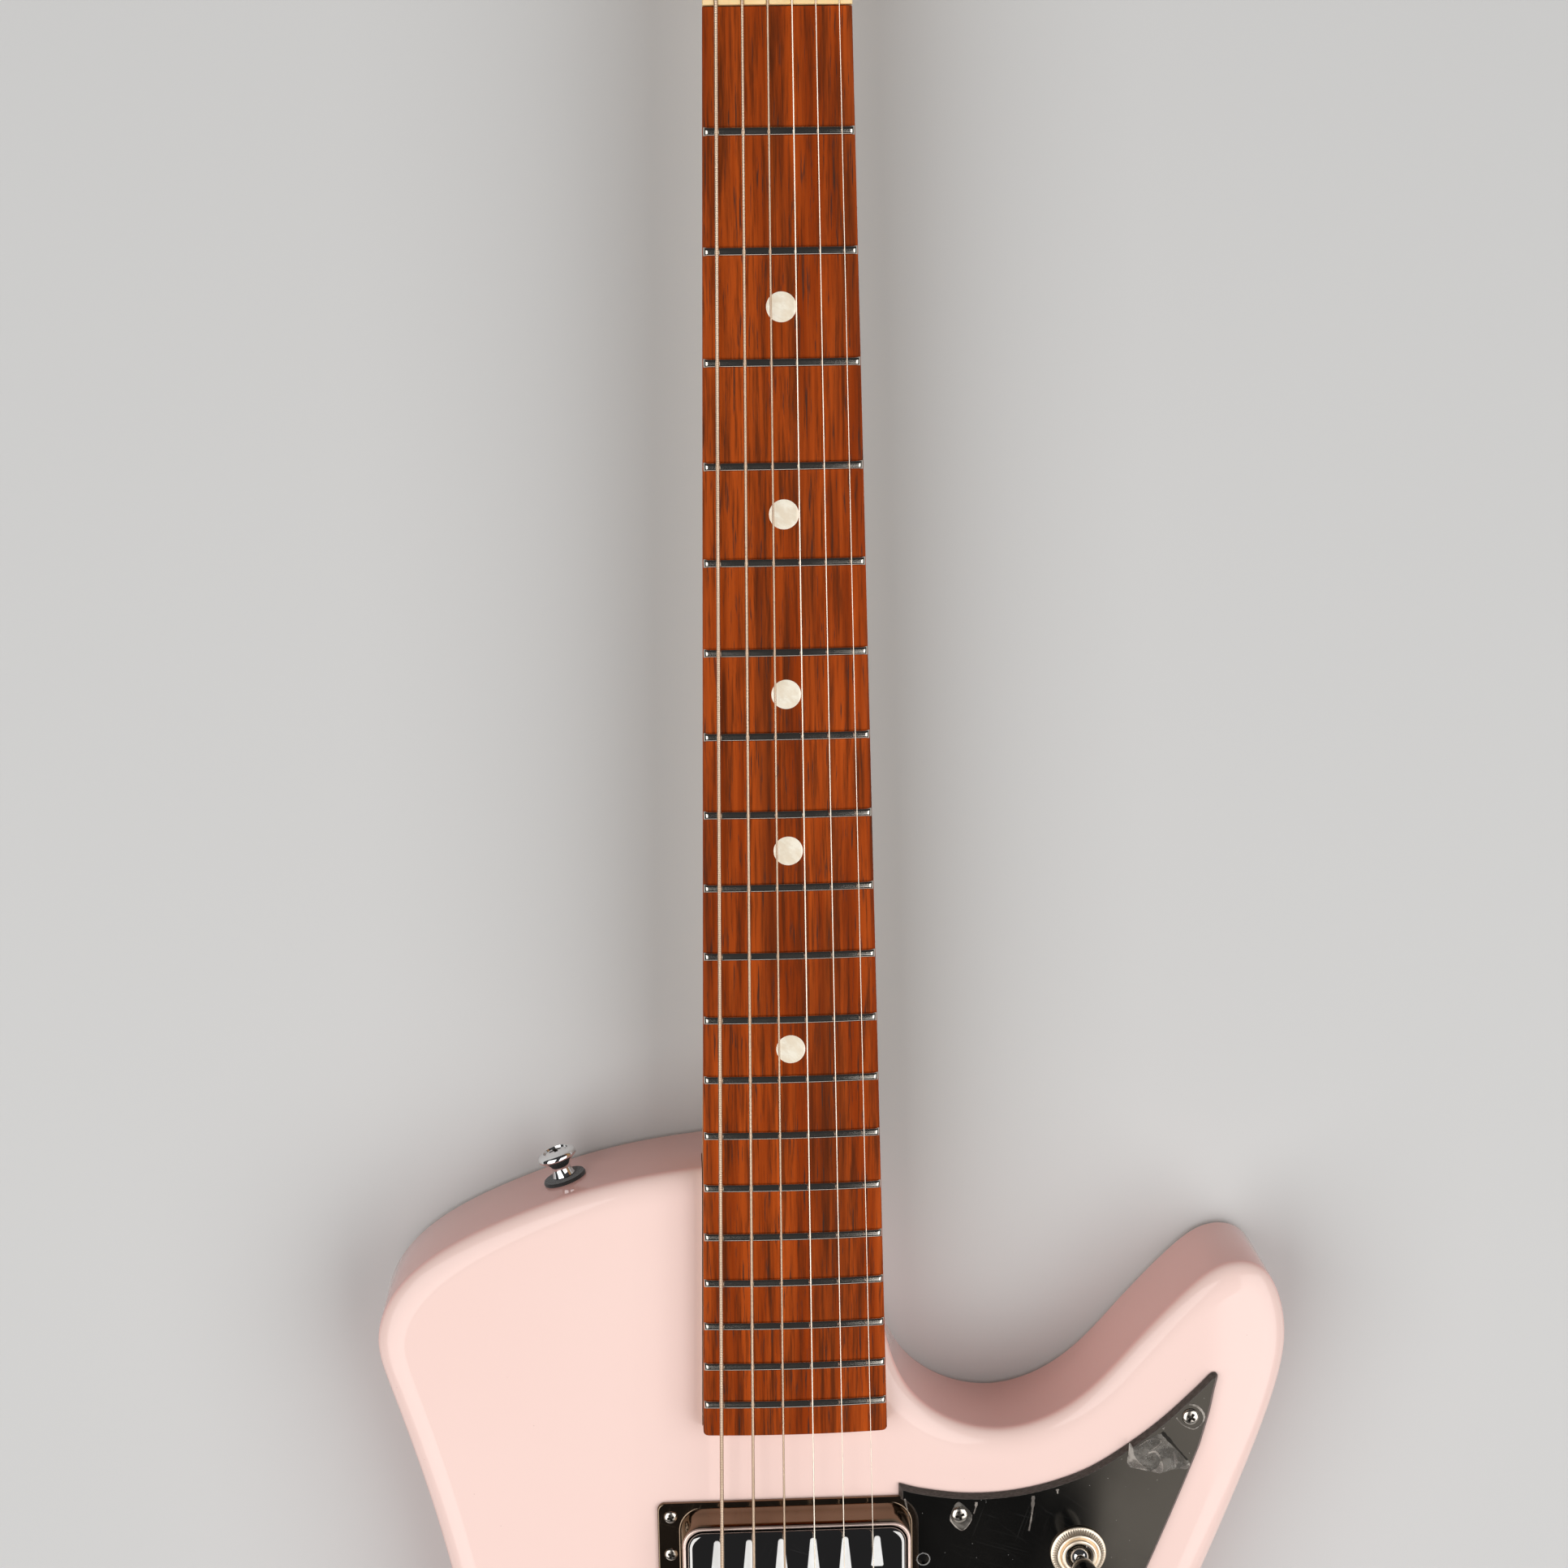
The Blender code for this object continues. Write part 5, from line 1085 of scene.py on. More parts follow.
def makeNut(made):
    half, edge = scaleSet["nutWidth"] / 2, made["edge"]
    rim = boardZ(half) + stringSet["nutLift"] + made["proud"]
    side = [(half - edge * run, rim - edge * drop) for run, drop in made["front"]]
    top = list(side)
    for number in reversed(range(stringCount)):
        x, room = nutX(number), stringSet["gauges"][number] / 2 + made["slotSpace"]
        crest = underNut(number) + made["proud"]
        foot = underNut(number) - made["slotSunk"]
        top.append((x + room * made["slotEdge"], crest))
        top += [(x + room * across, foot + room * rise) for across, rise in made["slot"]]
        top.append((x - room * made["slotEdge"], crest))
    top += [(-x, z) for x, z in reversed(side)]
    rows = [(nutLow.y + edge * run, edge * drop) for run, drop in made["front"]]
    rows += [(nutHigh.y - edge * run, edge * drop) for run, drop in made["back"]]
    loops = []
    for y, drop in rows:
        loops.append([(-half, y, nutLow.z), (half, y, nutLow.z)] + [(x, y, z - drop) for x, z in top])
    build("boneNut", loft(loops), bone, "nut", sharp=40)


makeFingerboard(fingerboardSet)
makeFrets(fretSet)
makeDots(fingerboardSet)
makeNut(nutSet)
print("fingerboard done")


# strings, from the tailpiece to the turns on the posts

def stringRoute(number, made):
    gauge = made["gauges"][number]
    radius = gauge / 2
    x = bridgeX(number)
    crest = Vector((x, -setback(number), underBridge(number) + radius))
    nutFront = Vector((nutX(number), nutLow.y, underNut(number) + radius))
    nutBack = Vector((nutX(number), nutHigh.y + gap, underNut(number) + radius))
    points = [Vector((x, tailY - tailWidth / 4, tailZ)), Vector((x, tailHigh.y + gap, tailZ))]
    points += [crest + Vector((0, -made["restRun"], -made["restFall"])), crest,
               crest + Vector((0, made["restRun"], 0)), nutFront, nutBack]
    joint = joints["tuner_post_%d_turn" % (stringCount - number)]
    post = headFrame.inverted() @ Vector(joint["pos_m"])
    side = 1 if post.x > 0 else -1
    start = headFrame.inverted() @ nutBack
    wrap = made["post"] + gap + radius
    way = post.xy - start.xy
    heading = math.atan2(way.y, way.x) + side * math.asin(wrap / way.length)
    touch = start.xy + math.sqrt(way.length ** 2 - wrap ** 2) * Vector((math.cos(heading), math.sin(heading)))
    first = math.atan2(touch.y - post.y, touch.x - post.x)
    pitch = gauge + made["turnSpace"]
    for step in range(int(made["turns"] * made["turnPoints"]) + 1):
        turn = step / made["turnPoints"]
        angle = first - side * 2 * math.pi * turn
        height = made["wrapHeight"] - pitch * turn
        spot = (post.x + wrap * math.cos(angle), post.y + wrap * math.sin(angle), height)
        points.append(headFrame @ Vector(spot))
    return points


def makeStrings(made):
    for number, gauge in enumerate(made["gauges"]):
        label = stringCount - number
        curve = bpy.data.curves.new("stringWire%d" % label, 'CURVE')
        curve.dimensions = '3D'
        curve.bevel_depth = gauge / 2
        curve.bevel_resolution = 3
        curve.use_fill_caps = True
        wound = number < made["wound"]
        curve.materials.append(woundWire(gauge * made["wrapShare"], wireSet) if wound else plainWire)
        points = stringRoute(number, made)
        run = curve.splines.new('POLY')
        run.points.add(len(points) - 1)
        for spot, point in zip(run.points, points):
            spot.co = (*point, 1)
        run.use_smooth = True
        show(curve.name, curve, "string_%d" % label)


makeStrings(stringSet)
print("strings done")


# pickguard with its screws, holes and scraps of film

guardSet = dict(
    margin=0.0182, keep=0.985, join=0.4, corner=(0.0326, 0.1779),
    startX=0.09, endY=-0.066, stopY=0.190,
    horn=((0.1306, 0.1979), (0.1321, 0.2055), (0.1331, 0.2101), (0.1328, 0.2114), (0.1320, 0.2118),
             (0.1305, 0.2112), (0.1265, 0.2071), (0.1166, 0.1977), (0.1067, 0.1899), (0.0934, 0.1814),
             (0.0800, 0.17645), (0.0667, 0.1740), (0.0533, 0.1738), (0.0400, 0.1758)),
    tail=((0.099, -0.085), (0.080, -0.089), (0.064, -0.078), (0.0565, -0.052), (0.0535, -0.022),
             (0.051, 0.0), (0.0445, 0.011)),
    hornSteps=5, tailSteps=8, notchSteps=10,
    ringFoot=(0.0736, 0.0485), ringSpace=0.0006, ringCorner=0.007,      # foot of a pickup ring's wall
    bevel=0.0011, lip=0.0003, rim=(0.00012, 0.00008), jackHole=0.005,
    screws=((0.0516, 0.1676), (0.1244, 0.1981), (0.1045, 0.1420), (0.0919, 0.1007), (0.0998, 0.0479),
               (0.1204, 0.0027), (0.1260, -0.0412), (0.0850, -0.0836), (0.0602, -0.0332), (0.0432, 0.0950)),
    screwTurn=0.7, access=0.0018, accessX=0.0401, accessShift=0.0045, wellLip=0.0002,
    well=((0.99, -1.1), (0.99, -0.1), (1.02, 0.08), (1.22, 0.08), (1.26, -0.2), (1.26, -1.1)),
    # wellShadeDisc is a black disc that paints the shade at the foot of the hole
    wellShadeDisc=((0.98, -1.1), (0.98, -1.0), (0.2, -0.9)),       # shares of the radius, and millimetres
)
neckPickup, bridgePickup = middle("neck_pickup_ring"), middle("bridge_pickup_ring")


def guardOutline(made):
    kept = []
    walls = np.array(bodyOutline)
    margin, sweep = made["margin"], made["ringCorner"] + made["ringSpace"]
    for x, y in inset(bodyOutline, margin):
        nearest = np.hypot(*(walls - (x, y)).T).min()
        if nearest > margin * made["keep"] and x > made["startX"] and made["endY"] < y < made["stopY"]:
            if not kept or math.dist(kept[-1], (x, y)) < margin * made["join"]:
                kept.append((x, y))
    footX, footY = (size / 2 for size in made["ringFoot"])
    cornerX, cornerY = footX - made["ringCorner"], neckPickup.y + footY - made["ringCorner"]
    last = math.acos((made["corner"][0] - cornerX) / sweep)
    turns = [last * i / made["notchSteps"] for i in range(made["notchSteps"] + 1)]
    notch = [(cornerX + sweep * math.cos(a), cornerY + sweep * math.sin(a)) for a in turns]
    edge = (footX + made["ringSpace"], bridgePickup.y)
    tail = openCurve([kept[2], kept[0], *made["tail"], edge], made["tailSteps"])[made["tailSteps"] + 1:]
    horn = openCurve([kept[-1], *made["horn"], made["corner"]], made["hornSteps"])[1:]
    return kept + horn + notch[::-1] + tail[::-1]


def makePickguard(made):
    low, high = guardLow.z, guardHigh.z
    bevel, (rimIn, rimDown) = made["bevel"], made["rim"]
    levels = ((0, low), (0, low + made["lip"]), (bevel, high - rimDown), (bevel + rimIn, high))
    solid = secondFinish(plate(guardOutline(made), levels), isEdge)
    holes = [bore(made["jackHole"], 32, jackPlace.xy, low - over, high + over)]
    spots = [(made["accessX"], pickup.y + made["accessShift"]) for pickup in (neckPickup, bridgePickup)]
    holes += [bore(made["access"], 24, spot, low - over, high + over) for spot in spots]
    build("pickguardPlate", solid, (guardBlack, guardEdge), "pickguard", sharp=25, cuts=holes)
    for name, spot in zip(("neckAccess", "bridgeAccess"), spots):
        well, floor = ([(made["access"] * share, high + rise * mm) for share, rise in made[part]]
                       for part in ("well", "wellShadeDisc"))
        solid = turned(well, 36, True)
        # painted shade: faces below the lip, and the disc at the foot, are black for the dark inside of the
        # hole
        secondFinish(solid, lambda face: face.calc_center_median().z <= high - made["wellLip"])
        build(name, solid, (steel, tipBlack), place=at(*spot))
        build(name + "Floor", turned(floor, 36), tipBlack, place=at(*spot))
    for number, spot in enumerate(made["screws"]):
        place = at(*spot, high - screwSink) @ spun(made["screwTurn"] * number)
        show("guardScrew%d" % (number + 1), guardScrew, place=place)


filmSet = dict(
    lift=0.00004, sheet=0.00003, fold=0.00005, ridge=0.00006,      # metres; shapes in millimetres
    sheets=(          # clear scraps
        ((115.1, 192.6), (118.0, 189.4), (121.2, 186.0), (124.3, 182.5), (123.7, 180.7), (119.5, 180.6),
         (115.5, 179.5), (111.8, 180.1), (108.4, 181.1), (105.3, 182.0), (104.5, 184.0), (104.9, 187.1),
         (105.2, 189.9), (106.2, 188.6), (108.3, 189.2), (110.9, 190.8)),
        ((51.1, 171.8), (49.2, 168.9), (48.9, 165.6), (52.3, 162.2), (55.0, 164.9), (55.5, 167.4),
         (53.6, 170.0)),
    ),
    folds=(           # doubled over, so whiter
        ((105.2, 189.9), (106.2, 188.4), (106.6, 186.3), (108.4, 183.3), (111.3, 180.4), (108.4, 181.0),
         (105.3, 182.0), (104.5, 184.0), (104.9, 187.1)),
        ((112.1, 180.3), (113.9, 181.3), (115.3, 183.7), (115.9, 180.0), (114.0, 179.5)),
        ((119.1, 186.6), (120.2, 184.6), (120.5, 182.6), (119.8, 181.2), (119.4, 183.2)),
        ((121.2, 181.1), (123.1, 181.9), (124.3, 182.5), (123.7, 180.6)),
    ),
    ridges=(          # creases and torn edges: points, then the width
        (((111.2, 186.3), (113.3, 186.7), (114.7, 185.1), (115.2, 183.4), (115.0, 182.0),
          (113.7, 180.8)), 0.7),
        (((108.1, 188.7), (110.7, 190.5), (112.8, 191.1), (115.1, 190.4), (114.1, 188.7),
          (111.8, 187.1)), 0.4),
        (((123.8, 202.3), (126.5, 201.4), (128.5, 198.8), (128.3, 196.3), (125.8, 194.0), (123.2, 194.7),
          (121.3, 196.1), (119.9, 197.9)), 0.7),
        (((115.7, 194.2), (116.2, 194.9)), 0.6),
        (((49.4, 169.0), (48.9, 165.6), (52.3, 162.2), (55.0, 164.9), (55.5, 167.4)), 0.5),
        (((74.9, 173.1), (74.6, 168.0), (73.6, 161.3)), 1.1),
        (((82.5, 175.1), (82.6, 173.6)), 1.0),
        (((56.9, 171.6), (56.7, 169.9), (56.1, 167.7)), 0.9),
        (((34.3, 173.5), (35.0, 170.4), (35.6, 167.6)), 0.6),
    ),
    shadowStrip=(((115.5, 193.1), (119.6, 188.3), (123.6, 183.5)), 1.2),     # painted shadow: a dark strip where the film's raised edge casts shade
)


def metres(points):
    return [(x * mm, y * mm) for x, y in points]


def ridgeStrip(points, width, z, thick):
    line = [Vector(point) for point in openCurve(metres(points), 6)]
    left, right = [], []
    for i, spot in enumerate(line):
        run = (line[min(i + 1, len(line) - 1)] - line[max(i - 1, 0)]).normalized()
        share = i / (len(line) - 1)
        taper = 0.45 + 0.55 * math.sin(math.pi * min(share * 1.6 + 0.2, 1.0))      # narrower toward the ends
        ragged = 1 + 0.25 * math.sin(i * 2.3)
        across = Vector((-run.y, run.x)) * (width * mm / 2 * taper * ragged)
        left.append(spot + across)
        right.append(spot - across)
    return prism([tuple(point) for point in right + left[::-1]], z, z + thick)


def makeFilm(made):
    low = guardHigh.z + made["lift"]
    high = low + made["sheet"]
    sheets = [prism(closedSpline(metres(points), 4), low, high) for points in made["sheets"]]
    build("filmSheets", merged(sheets), film)
    folds = [prism(closedSpline(metres(points), 5), high, high + made["fold"]) for points in made["folds"]]
    folds += [ridgeStrip(points, width, high, made["ridge"]) for points, width in made["ridges"]]
    build("filmCreases", merged(folds), crease)
    # painted shadow along the film's edge, in black plastic
    build("filmShade", ridgeStrip(*made["shadowStrip"], low, made["ridge"]), tipBlack)


makePickguard(guardSet)
makeFilm(filmSet)
print("pickguard done")


# pickups: ring, cover and bobbin teeth

pickupSet = dict(
    open=(0.0692, 0.0386), top=(0.0714, 0.0408), foot=(0.0722, 0.0470), flange=(0.0868, 0.0509),
    base=0.0012, corner=0.007, cornerFall=0.0011, wallShares=(0.25, 0.5, 0.75, 0.9), rim=0.0005,
    flangeRows=(       # which size, its growth both ways, corner, which level, rise; millimetres
        ("flange", 0, 0, 2.2, "low", 0), ("flange", 0, 0, 2.2, "base", -0.4),
        ("flange", -0.3, -0.3, 2.2, "base", -0.1), ("flange", -0.6, -0.6, 2.1, "base", 0),
        ("flange", -1.0, -0.9, 2.1, "base", 0),
        ("foot", 1.3, 1.1, 7.7, "base", 0), ("foot", 1.0, 0.8, 7.5, "base", 0),
        ("foot", 0.3, 0.2, 7.2, "base", 0.2), ("foot", 0, 0, 7.0, "base", 0.7)),
    rimRows=(
        ("top", 0.1, 0.1, 5.9, "high", -0.5), ("top", -0.4, -0.4, 5.7, "high", -0.1),
        ("top", -1.0, -0.8, 5.5, "high", 0), ("open", 0.5, 0.6, 5.6, "high", -0.1),
        ("open", 0.1, 0.2, 5.4, "high", -0.4), ("open", 0, 0, 5.3, "high", -0.8),
        ("open", 0, 0, 5.3, "low", 0)),
    cover=(0.0686, 0.038), coverCorner=0.005, coverEdge=0.0016, flat=0.0004, wall=0.0009,
    pitch=0.010, slotTop=0.0022, slotFoot=0.0066, slotLength=0.024, outerLength=0.0105,
    slotSetback=0.0022, slotCorner=0.0004, slotOver=0.0003, toothSpace=0.00012, toothFoot=0.0005,
    toothEdge=0.0001, toothProud=0.00002, spool=0.0024, spoolIn=0.003,
    screwX=-0.0393, screwY=(0.021, 0.0084, -0.0084, -0.021), screwTurn=0.9,
)


def makeRing(name, node, made):
    low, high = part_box(node)
    centre = (low + high) / 2
    base, rise = low.z + made["base"], high.z
    heights = {"low": low.z, "base": base, "high": rise}

    def rows(part):
        levels = []
        for size, growX, growY, corner, start, lift in made[part]:
            wide, long = made[size]
            levels.append(((wide + growX * mm, long + growY * mm), corner * mm, heights[start] + lift * mm))
        return levels

    levels = rows("flangeRows")
    foot, top = Vector(made["foot"]), Vector(made["top"])
    for share in made["wallShares"]:
        corner = made["corner"] - made["cornerFall"] * share
        levels.append((foot + (top - foot) * share, corner, base + (rise - base) * share))
    levels += rows("rimRows")
    solid = loft([level(roundBox(*size, corner, 10, centre.xy), z) for size, corner, z in levels], ring=True)
    # faces near the top take the painted rim highlight; the rest takes the nickel darkened as painted
    # reflection
    secondFinish(solid, lambda face: face.calc_center_median().z > rise - made["rim"])
    build(name, solid, (darkReflectionNickel, rimHighlightNickel), node, sharp=50)
    for number, shift in enumerate(made["screwY"]):
        place = at(made["screwX"], centre.y + shift, base - screwSink) @ spun(number * made["screwTurn"])
        show("%sScrew%d" % (name, number + 1), ringScrew, place=place)


def toothOutlines(made, centre, space):
    outlines = []
    top, cut = made["cover"][1] / 2 - made["slotSetback"], made["slotCorner"]
    growth = (made["slotFoot"] - made["slotTop"]) / made["slotLength"]
    arc = [math.pi * i / 8 for i in range(9)]
    for number in range(stringCount):
        x = (number - (stringCount - 1) / 2) * made["pitch"]
        length = made["outerLength"] if number in (0, stringCount - 1) else made["slotLength"]
        narrow, wide = made["slotTop"] / 2 - space, (made["slotTop"] + growth * length) / 2 - space
        foot = top - length + space
        outline = [(x - wide, foot + cut), (x - wide + cut, foot)]
        outline += [(x + wide - cut, foot), (x + wide, foot + cut)]
        outline += [(x + narrow * math.cos(a), top - narrow - space + narrow * math.sin(a)) for a in arc]
        outlines.append([(a + centre.x, b + centre.y) for a, b in outline])
    return outlines


def makePickup(name, coverNode, coilNode, made):
    low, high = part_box(coverNode)
    centre, top = (low + high) / 2, high.z
    wall = made["wall"]

    def outline(edge, steps, space=0.0):
        size = (side - 2 * edge - 2 * space for side in made["cover"])
        return roundBox(*size, made["coverCorner"] - edge, steps, centre.xy)

    levels = [(wall, top - wall), (wall, low.z), (0, low.z)]
    levels += roundedTop(made["coverEdge"], top, 6, made["flat"])
    cover = loft([level(outline(edge, 10), z) for edge, z in levels])
    foot = top - wall - made["slotOver"]
    windows = [prism(tooth, foot, top + over) for tooth in toothOutlines(made, centre, 0)]
    build(name + "Cover", cover, darkReflectionMirror, coverNode, sharp=40, cuts=windows)
    shelf = top - wall - gap
    spool, spoolIn = made["spool"], made["spoolIn"]
    levels = ((0, low.z), (0, low.z + spool), (spoolIn, low.z + spool), (spoolIn, shelf - spool),
              (0, shelf - spool), (0, shelf))
    parts = [plate(outline(wall, 8, gap), levels)]
    space = made["toothSpace"]
    levels = ((0, shelf - made["toothFoot"]), (0, top - space), (made["toothEdge"], top + made["toothProud"]))
    parts += [plate(tooth, levels) for tooth in toothOutlines(made, centre, space)]
    build(name + "Bobbin", merged(parts), whitePlastic, coilNode)


for place in ("neck", "bridge"):
    makeRing(place + "Ring", place + "_pickup_ring", pickupSet)
    makePickup(place + "Pickup", place + "_pickup_cover", place + "_pickup_coil", pickupSet)
print("pickups done")


# selector switch; profiles here and below are radius, rise and depth of flutes in millimetres

switchSet = dict(
    profile=((3.5, 0.2), (8.35, 0.0), (8.75, 0.25), (8.85, 0.6), (8.75, 0.95), (8.5, 1.15), (8.3, 1.2, 0.05),
                (8.15, 1.35, 0.28), (7.25, 2.3, 0.28), (7.1, 2.45, 0.05), (7, 2.6), (6.8, 2.9), (6.4, 3.05),
                (6.05, 2.95), (5.85, 2.7), (5.75, 2.9), (5.65, 3.4), (5.45, 3.75), (5.05, 3.9), (4.6, 3.75),
                (4.2, 3.2), (3.85, 2.4), (3.7, 1.6)),
    knurls=60, ball=0.0033, ballArc=60, rod=0.0016, rodHeight=0.015, stub=0.009,
    shoulder=((1.05, 0.0003), (1.0, 0.0008)), socket=0.008, socketRim=(0.0001, 0.0006),
    tip=0.0041, tipFoot=0.6, tipLength=0.0155,
    swell=((0.66, 0.0), (0.80, 0.06), (0.93, 0.25), (1.0, 0.58), (0.95, 0.80), (0.78, 0.94), (0.45, 0.99),
           (0.05, 1.0)),
)


def profiled(rows, z=0.0):
    return [(row[0] * mm, z + row[1] * mm, *(depth * mm for depth in row[2:])) for row in rows]


def makeSwitch(made):
    pivot = Vector(joints["switch_throw"]["pos_m"])
    nut = turned(profiled(made["profile"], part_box("switch_nut")[0].z - gap), made["knurls"] * 4, True)
    build("switchNut", nut, satinNickel, "switch_nut", place=at(pivot.x, pivot.y), sharp=30)
    rod, arc = made["rod"], made["ballArc"]
    turns = [math.radians(degrees) for degrees in range(-arc, arc + 1, 10)]
    ball = [(made["ball"] * math.cos(a), made["ball"] * math.sin(a)) for a in turns]
    lever = [(rod, -made["stub"]), (rod, ball[0][1])] + ball
    lever += [(rod * share, ball[-1][1] + rise) for share, rise in made["shoulder"]]
    lever.append((rod, made["rodHeight"]))
    place = Matrix.Translation(pivot)
    build("switchLever", turned(lever, 40), chrome, "switch_lever", "switch_lever", place)
    start = made["rodHeight"] - made["socket"]
    rimOut, rimUp = made["socketRim"]
    tip = [(rod + rimOut, start + rimUp), (made["tip"] * made["tipFoot"], start)]
    for wide, share in openCurve(made["swell"], 5):
        tip.append((made["tip"] * wide, start + made["tipLength"] * share))
    build("switchTip", turned(tip, 40), tipBlack, "switch_tip", "switch_lever", place, 50)


makeSwitch(switchSet)


# knobs and output socket

knobSet = dict(
    skirt=((7.5, 2.0), (7.5, 0), (10.8, 0), (11, 0.3), (11, 2.4), (10.7, 3.0), (9.4, 4.05), (8.8, 4.8, 0.35)),
    crown=((8.5, -1.6, 0.35), (8.1, -0.7, 0.1), (7.5, -0.1), (7.0, 0), (6.6, -0.15), (6.2, -0.3),
           (0.4, -0.1)),
    height=0.0155, flutes=36, shaft=0.0031, shaftRise=0.003,
    line=(0.0006, 0.0048, 0.00027), lineY=0.0036, lineSunk=0.0006, lineEdge=(0.00002, 0.0001, 0.00004),
)


def makeKnob(name, node, body, made):
    low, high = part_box(node)
    centre, top = (low + high) / 2, high.z
    foot = top - made["height"]
    place = at(centre.x, centre.y)
    solid = turned(profiled(made["skirt"], foot) + profiled(made["crown"], top), made["flutes"] * 4)
    build(name, solid, knobBlack, node, body, place, 38)
    shaft = turned([(made["shaft"], low.z), (made["shaft"], foot + made["shaftRise"])], 24)
    build(name + "Shaft", shaft, brass, None, body, place)
    edgeDown, edgeIn, proud = made["lineEdge"]
    levels = ((0, top - made["lineSunk"]), (0, top - edgeDown), (edgeIn, top + proud))
    line = plate(roundBox(*made["line"], 4, (0, made["lineY"])), levels)
    build(name + "Line", line, whitePlastic, None, body, place)


def hexNut(radius, low, high, hole, edge=0.00035):
    flats = [Vector(point) for point in ringPoints(radius, 6)]
    loops = []
    for z, cut in ((low, edge), (low + edge, 0), (high - edge, 0), (high, edge)):
        loop = []
        for a, b in zip(flats, flats[1:] + flats[:1]):
            for share in (0.0, 0.1, 0.3, 0.5, 0.7, 0.9):
                loop.append((*(a + (b - a) * share) * (1 - cut / radius), z))
        loops.append(loop)
    loops += [level(ringPoints(hole, 36), z) for z in (high, low)]
    return loft(loops, ring=True)


socketSet = dict(
    washer=((4.8, 0), (7.8, 0), (7.9, 0.3), (7.7, 0.6), (4.8, 0.6)), nut=0.0071, nutHole=0.0047,
    nutFoot=0.0006, nutDown=0.0003, bottom=((3.3, 1.0),), foot=((6.2, 0),),
    rim=((3.3, -0.4), (3.7, 0), (4.4, 0), (4.7, -0.3)), collar=((4.7, -0.5), (6.2, -0.6)),
)


def makeSocket(made):
    low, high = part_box("output_jack")
    start = guardHigh.z
    washer = turned(profiled(made["washer"], start), 48, True)
    nut = hexNut(made["nut"], start + made["nutFoot"], high.z - made["nutDown"], made["nutHole"])
    barrel = [row for part, z in (("bottom", low.z), ("rim", high.z), ("collar", guardLow.z), ("foot", low.z))
              for row in profiled(made[part], z)]
    solid = merged([washer, nut, turned(barrel, 40)])
    build("outputSocket", solid, nickel, "output_jack", place=at(jackPlace.x, jackPlace.y))


for name, node in (("volumeKnob", "volume_knob"), ("toneKnob", "tone_knob")):
    makeKnob(name, node, node, knobSet)
makeSocket(socketSet)
print("controls done")


# bridge with its saddles and height posts

bridgeSet = dict(
    bar=0.013, height=0.0065, footEdge=0.0008, round=0.0015, flat=0.0004, endRound=0.0058,
    trough=(0.0605, 0.0088), troughCorner=0.0016, troughDepth=0.0032,
    saddleWidth=0.0074, saddleBase=0.0026, saddleTop=0.0005, saddleWall=0.0016, saddleFall=0.0001,
    saddleEdge=(0.0004, 0.0003), seat=0.00005,
    screw=0.00115, screwRise=0.0013, screwStart=0.0006, screwStop=0.0002,
    head=((1.7, -0.6), (1.7, 0.2), (1.53, 0.4)), headSlot=(0.0004, 0.003), headSlotFoot=0.0002,
    studX=0.03705, stud=0.0022, studSpace=0.0002, studEdge=0.0004,
    studSlot=(0.00035, 0.004), studSlotDepth=0.0009, anchor=0.0035, knurls=40,
    wheelFoot=((6.7, 0), (7.0, 0.3, 0.4)),
    wheelTop=((7.0, -0.3, 0.4), (6.7, 0), (5.6, 0), (5.3, -0.25), (3.0, -0.25), (2.6, 0), (2.2, 0.1)),
    wheelThick=0.0016,
)


def makeBridgeBar(made, top):
    low = bridgeLow.z
    outline = roundBox(bridgeHigh.x - bridgeLow.x, made["bar"], made["endRound"], 12)
    levels = [(made["footEdge"], low), (0.0, low + made["footEdge"])]
    levels += roundedTop(made["round"], top, 6, made["flat"])
    cuts = [prism(roundBox(*made["trough"], made["troughCorner"], 6), top - made["troughDepth"], top + over)]
    for x in (-made["studX"], made["studX"]):
        cuts.append(bore(made["stud"] + made["studSpace"], 28, (x, 0), low - over, top + over))
    build("bridgeBar", plate(outline, levels), chrome, "bridge", sharp=40, cuts=cuts)


def saddleBlock(number, base, made):
    x, y = bridgeX(number), -setback(number)
    half, reach, run = made["saddleWidth"] / 2, made["saddleBase"], made["saddleTop"]
    wall = base + made["saddleWall"]
    notch = stringSet["gauges"][number] / 2 + made["seat"]
    edge, edgeDrop = made["saddleEdge"]
    side = [(half, edgeDrop), (half - edge, 0), (notch * 2, 0), (notch * 0.6, notch * 0.8)]
    loops = []
    for shift, drop in [(-x, drop) for x, drop in side] + [(0, notch)] + side[::-1]:
        tall = underBridge(number) - made["seat"] - drop + notch * 0.9
        fall = tall - made["saddleFall"]
        back = ((-run, fall), (-reach, wall), (-reach, base))
        front = ((reach, base), (reach, wall), (run, fall))
        loops.append([(x + shift, y + along, z) for along, z in (back[-1], *front, (0, tall), *back[:2])])
    return loft(loops)


def makeSaddles(made, top):
    base, half = top - made["troughDepth"], made["bar"] / 2
    radius, stop = made["screw"], made["trough"][1] / 2 - made["screwStop"]
    for number in range(stringCount):
        label = stringCount - number
        build("saddle%d" % label, saddleBlock(number, base, made), nickel)
        name = "saddleScrew%d" % label
        lying = at(bridgeX(number), 0, base + made["screwRise"]) @ spun(-math.pi / 2, 'X')
        slot = blade((*made["headSlot"], -half - over), (*made["headSlot"], -half - made["headSlotFoot"]))
        head = turned(profiled(made["head"], -half), 24)
        build(name + "Head", head, chrome, place=lying, cuts=[slot])
        rod = turned([(radius, -half + made["screwStart"]), (radius, stop)], 20)
        build(name, rod, steel, place=lying)


